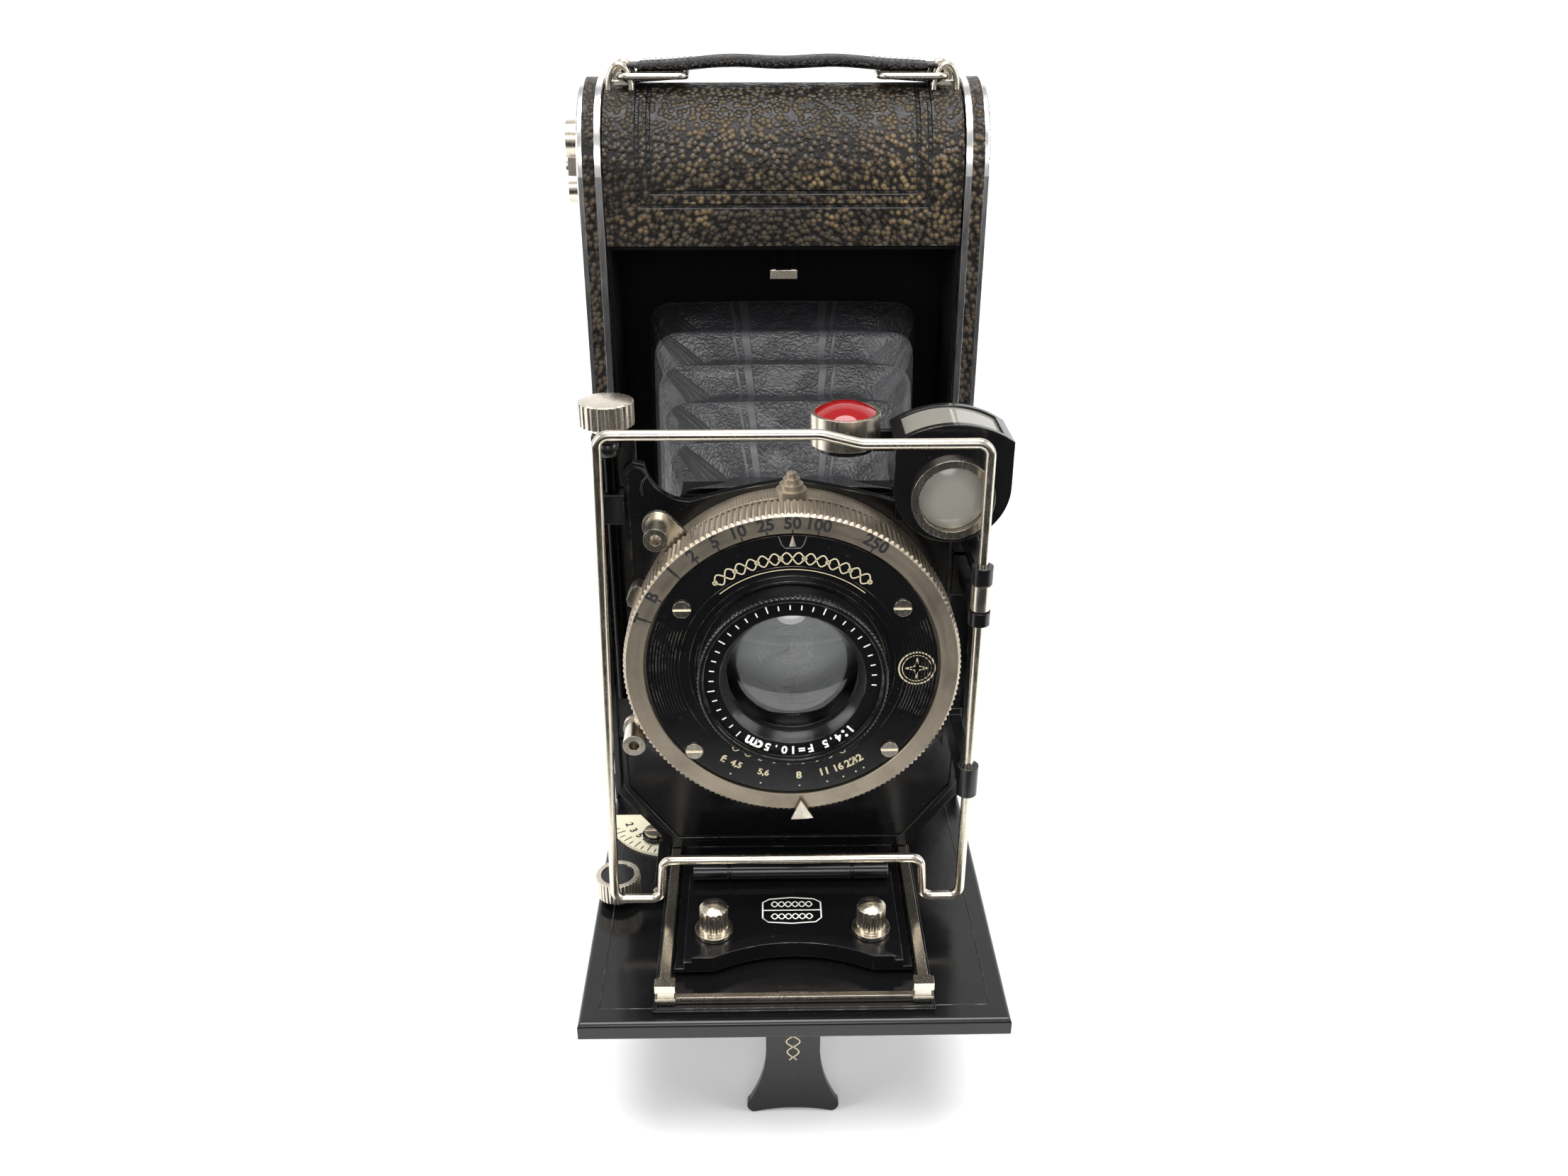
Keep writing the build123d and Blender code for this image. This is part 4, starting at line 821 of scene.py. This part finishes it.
def make_carriage_badge():
    """An empty shield with a bar and two rows of knots."""
    badge = Parts()
    mid_d, wide, deep, lift = 79.6, 5.1, 3.1, 0.04
    far, near = mid_d + deep, mid_d - deep
    outline = [(-wide, far - 1.1), (-wide + 1.0, far), (0, far + 0.35), (wide - 1.0, far), (wide, far - 1.1),
               (wide, near + 1.0), (wide - 1.2, near + 0.1), (0, near - 0.3), (-wide + 1.2, near + 0.1),
               (-wide, near + 1.0)]
    badge.level_strip(outline + outline[:2], CARRIAGE_TOP, 0.26, lift)
    badge.level_strip([(-wide, mid_d), (wide, mid_d)], CARRIAGE_TOP, 0.24, lift)
    for row in (-1, 1):
        row_d = mid_d + row * deep * 0.52
        for wave in (0.7, -0.7):
            knots = [(-3.6 + 0.3 * k, row_d + wave * sin(k * pi / 4)) for k in range(25)]
            badge.level_strip(knots, CARRIAGE_TOP, 0.24, lift)
    piece("carriage_badge", badge, "standard", "white_ink")


def make_distance_figures():
    """Distances in metres with ticks outside them. Whatever would pass the plate's sides is left out."""
    scale = Parts()
    figures_r, ticks_r = 9.4, 12.7
    for text, angle, height, upright in DISTANCES:
        a = radians(angle)
        x, d = SCALE_X - figures_r * sin(a), SCALE_D + figures_r * cos(a)
        write_top(scale, text, height, x, d, SCALE_FACE + 0.02, upright - angle)
    for k in range(10):
        a = radians(74 - 6.5 * k)
        inside = ticks_r - (1.1 if k % 2 else 1.9)
        tick = [(SCALE_X - r * sin(a), SCALE_D + r * cos(a)) for r in (inside, ticks_r)]
        scale.level_strip(tick, SCALE_FACE, 0.24, 0.02)
    scale.faces = [f for f in scale.faces if all(-34.5 < scale.verts[i][0] / MM < -23.2 for i in f)]
    piece("distance_figures", scale, "root", "black_ink")


def make_bed_details():
    """The focus lever's screw, ledges round the bed's leather, and stops on the focus rail."""
    profile = [(0.01, 33.3), (1.0, 33.3), (1.0, 33.65), (0.8, 33.85), (0.01, 33.9)]
    screw = Parts().lathe_z(profile, 24, -23.9, 71.6)
    piece("focus_lever_screw", screw, "focus_lever", "nickel", 30)

    ledge = Parts()
    inner, outer = (22.4, 6, 100.1, 32.4, 0.35, 0.18), (31.8, 4, 99.0, 31.6, 0.3, 0.1)
    for half, rear, front, z, width, lift in (inner, outer):
        ledge.level_strip([(-half, rear), (-half, front), (half, front), (half, rear)], z, width, lift)
    piece("bed_ledges", ledge, "root", "black_enamel", 60)

    stops = Parts()
    for side in (-1, 1):
        plan = [(side * x, d) for x, d in ((19.3, 97.6), (22.6, 97.6), (22.6, 99.5), (19.3, 99.5))]
        for heights in ((33.4, 33.9), (35.2, 36.6)):
            stops.tube([[at(x, d, z) for x, d in plan] for z in heights])
    piece("rail_stops", stops, "focus_rail", "nickel", 30)


# ---------------------------------------------------------------- standard, lens panel and leg
STANDARD_D = 61.9        # the standard's front face
SETTING_ANGLE = 65       # of the setting tab, anticlockwise from the top


def make_standard_details():
    """Lips on the standard's edges, the lens panel's rim, rivets and the sleeve of the rise screw."""
    lips = Parts()
    for side in (-1, 1):
        points = [(side * 29.8, 60.0), (side * 29.6, 49.6), (side * 22.6, 40.2), (side * 20.8, 38.0)]
        smooth = []
        for (x0, z0), (x1, z1) in zip(points, points[1:]):
            smooth += [(x0 + (x1 - x0) * k / 6, z0 + (z1 - z0) * k / 6) for k in range(6)]
        lips.strip(smooth + points[-1:], 1.1, STANDARD_D, 0.55)
    lips.strip([(-20.8, 38.0), (20.8, 38.0)], 0.9, STANDARD_D, 0.4)
    piece("standard_lips", lips, "standard", "black_enamel", 70)
    rim = Parts()
    for side in (-1, 1):
        top = [(side * x, z) for x, z in ((26.4, 64.0), (26.4, 111.0), (25.3, 112.3), (23.9, 111.9))]
        bow = [(side * (21.3 + 2.9 * cos(a)), 108.2 + 3.2 * sin(a)) for a in (0.9, 0.5, 0.1, -0.3)]
        rim.strip(top + bow, 0.45, 63.9, 0.16)
    piece("panel_rim", rim, "lens_board", "black_enamel", 70)
    rivets = Parts()
    head = [(0.01, STANDARD_D), (0.55, STANDARD_D), (0.5, 62.15), (0.25, 62.3), (0.01, 62.32)]
    for x, z in ((-29.9, 112.6), (-26.6, 109.4), (29.9, 88.0)):
        rivets.lathe_y(head, 16, x=x, z=z)
    piece("standard_rivets", rivets, "standard", "nickel", 60)
    profile = [(1.5, 114.4), (1.75, 114.8), (1.75, 116.4), (1.2, 116.9), (1.0, 116.9), (1.0, 114.4)]
    sleeve = Parts().lathe_z(profile, 24, -29.0, 64.2)
    piece("rise_sleeve", sleeve, "standard", "black_enamel", 50)


def make_leg_ornament():
    """Two lines twisted about each other that narrow down the leg."""
    leg = Parts()
    for wave in (1.8, -1.8):
        line = [(wave * sin(k * 0.55) * (1 - k / 60), 25.0 - 0.42 * k) for k in range(31)]
        leg.strip(line, 0.24, 91.6, 0.03)
    piece("leg_ornament", leg, "stand_leg", "gold_ink")


def make_setting_tab():
    """A tab with cut corners that stands out from the shutter's side."""
    a = radians(SETTING_ANGLE)
    inside, outside, half, chamfer = 26.0, 28.6, 1.9, 0.9
    corners = [(inside, -half), (outside - 0.6, -half), (outside, -half + chamfer), (outside, half - chamfer),
               (outside - 0.6, half), (inside, half)]
    plan = [(-(r * sin(a)) + v * cos(a), AXIS_Z + r * cos(a) + v * sin(a)) for r, v in corners]
    tab = Parts().tube([[at(x, d, z) for x, z in plan] for d in (71.4, 74.4)])
    piece("setting_tab", tab, "lens_board", "nickel", 30)


make_bellows()
make_speed_ring()
make_case_knurling()
make_aperture_figures()
make_face_ornament()
make_face_grooves()
make_index()
make_lens_rim()
make_lens_figures()
make_lens_glass()
make_shutter_leaves()
make_strap()
make_bellows_frame()
make_carriage_badge()
make_distance_figures()
make_bed_details()
make_standard_details()
make_leg_ornament()
make_setting_tab()


# ---------------------------------------------------------------- camera, light, floor
PAPER_HALF_WIDTH = 6.0
SWEEP_START, SWEEP_RADIUS, SWEEP_TOP = 1.5, 1.5, 4.0      # where the paper starts to curve up, and its end


def area_light(name, place, aim, width, height, power):
    """A soft elliptical lamp at a place, turned towards an aim."""
    lamp = bpy.data.lights.new(name, "AREA")
    lamp.shape = "ELLIPSE"
    lamp.size, lamp.size_y = width, height
    lamp.energy = power
    held = bpy.data.objects.new(name, lamp)
    held.location = place
    held.rotation_euler = (Vector(aim) - Vector(place)).to_track_quat("-Z", "Y").to_euler()
    bpy.context.scene.collection.objects.link(held)


def make_stage():
    """The photo's camera, four soft lamps, a black card to mirror and a paper floor that curves up."""
    scene = bpy.context.scene
    scene.view_settings.view_transform = "Standard"
    camera = bpy.data.objects.new("camera", bpy.data.cameras.new("camera"))
    camera.data.sensor_width = 36.0
    camera.data.lens = 29.6
    camera.location = (-0.0045, -0.22525, 0.184)
    camera.rotation_euler = (radians(64.4), 0.0, radians(-1.0))
    camera.data.clip_start = 0.01
    scene.collection.objects.link(camera)
    scene.camera = camera

    world = bpy.data.worlds.new("studio")
    world.use_nodes = True
    world.node_tree.nodes["Background"].inputs[0].default_value = (0.96, 0.97, 1.0, 1.0)
    world.node_tree.nodes["Background"].inputs[1].default_value = 0.55
    scene.world = world
    area_light("softbox_top", (0.0, -0.15, 1.0), (0.0, 0.0, 0.05), 0.9, 0.7, 14.0)
    area_light("softbox_left", (-0.95, -0.35, 0.45), (0.0, 0.0, 0.08), 0.5, 0.8, 6.0)
    area_light("softbox_right", (0.95, -0.3, 0.5), (0.0, 0.0, 0.08), 0.5, 0.8, 6.0)
    area_light("softbox_front", (0.0, -1.3, 0.62), (0.0, 0.0, 0.1), 0.6, 0.5, 4.0)

    # A black card on the floor in front of the part, seen only in reflections.
    half, near, far, height = 1.2, -1.3, -0.13, 0.002
    corners = [(-half, near, height), (half, near, height), (half, far, height), (-half, far, height)]
    flag = bpy.data.meshes.new("black_flag")
    flag.from_pydata(corners, [], [(0, 1, 2, 3)])
    card = bpy.data.objects.new("black_flag", flag)
    card.data.materials.append(MATERIALS["black_matte"])
    card.visible_camera = card.visible_diffuse = card.visible_shadow = card.visible_transmission = False
    scene.collection.objects.link(card)

    paper = Shader("studio_paper", (0.86, 0.86, 0.86), 0.8)
    paper.set("Base Color", paper.mix(paper.noise(30.0, 3.0), (0.85, 0.85, 0.86), (0.88, 0.88, 0.88)))
    paper.set("Emission Color", (1.0, 1.0, 1.0, 1.0))
    paper.set("Emission Strength", paper.ramp(paper.axes()[1], 0.1, 0.8, 0.0, 0.62))     # white far behind
    curve = [(SWEEP_START + SWEEP_RADIUS * sin(a), SWEEP_RADIUS - SWEEP_RADIUS * cos(a))
             for a in (pi * k / 24 for k in range(1, 13))]
    sweep = [(-PAPER_HALF_WIDTH, 0.0), (SWEEP_START, 0.0), *curve, (SWEEP_START + SWEEP_RADIUS, SWEEP_TOP)]
    mesh = bpy.data.meshes.new("floor")
    mesh.from_pydata([(x, y, z) for y, z in sweep for x in (-PAPER_HALF_WIDTH, PAPER_HALF_WIDTH)], [],
                     [(2 * k, 2 * k + 1, 2 * k + 3, 2 * k + 2) for k in range(len(sweep) - 1)])
    mesh.shade_smooth()
    floor = bpy.data.objects.new("floor", mesh)
    floor.data.materials.append(paper.mat)
    scene.collection.objects.link(floor)


make_stage()
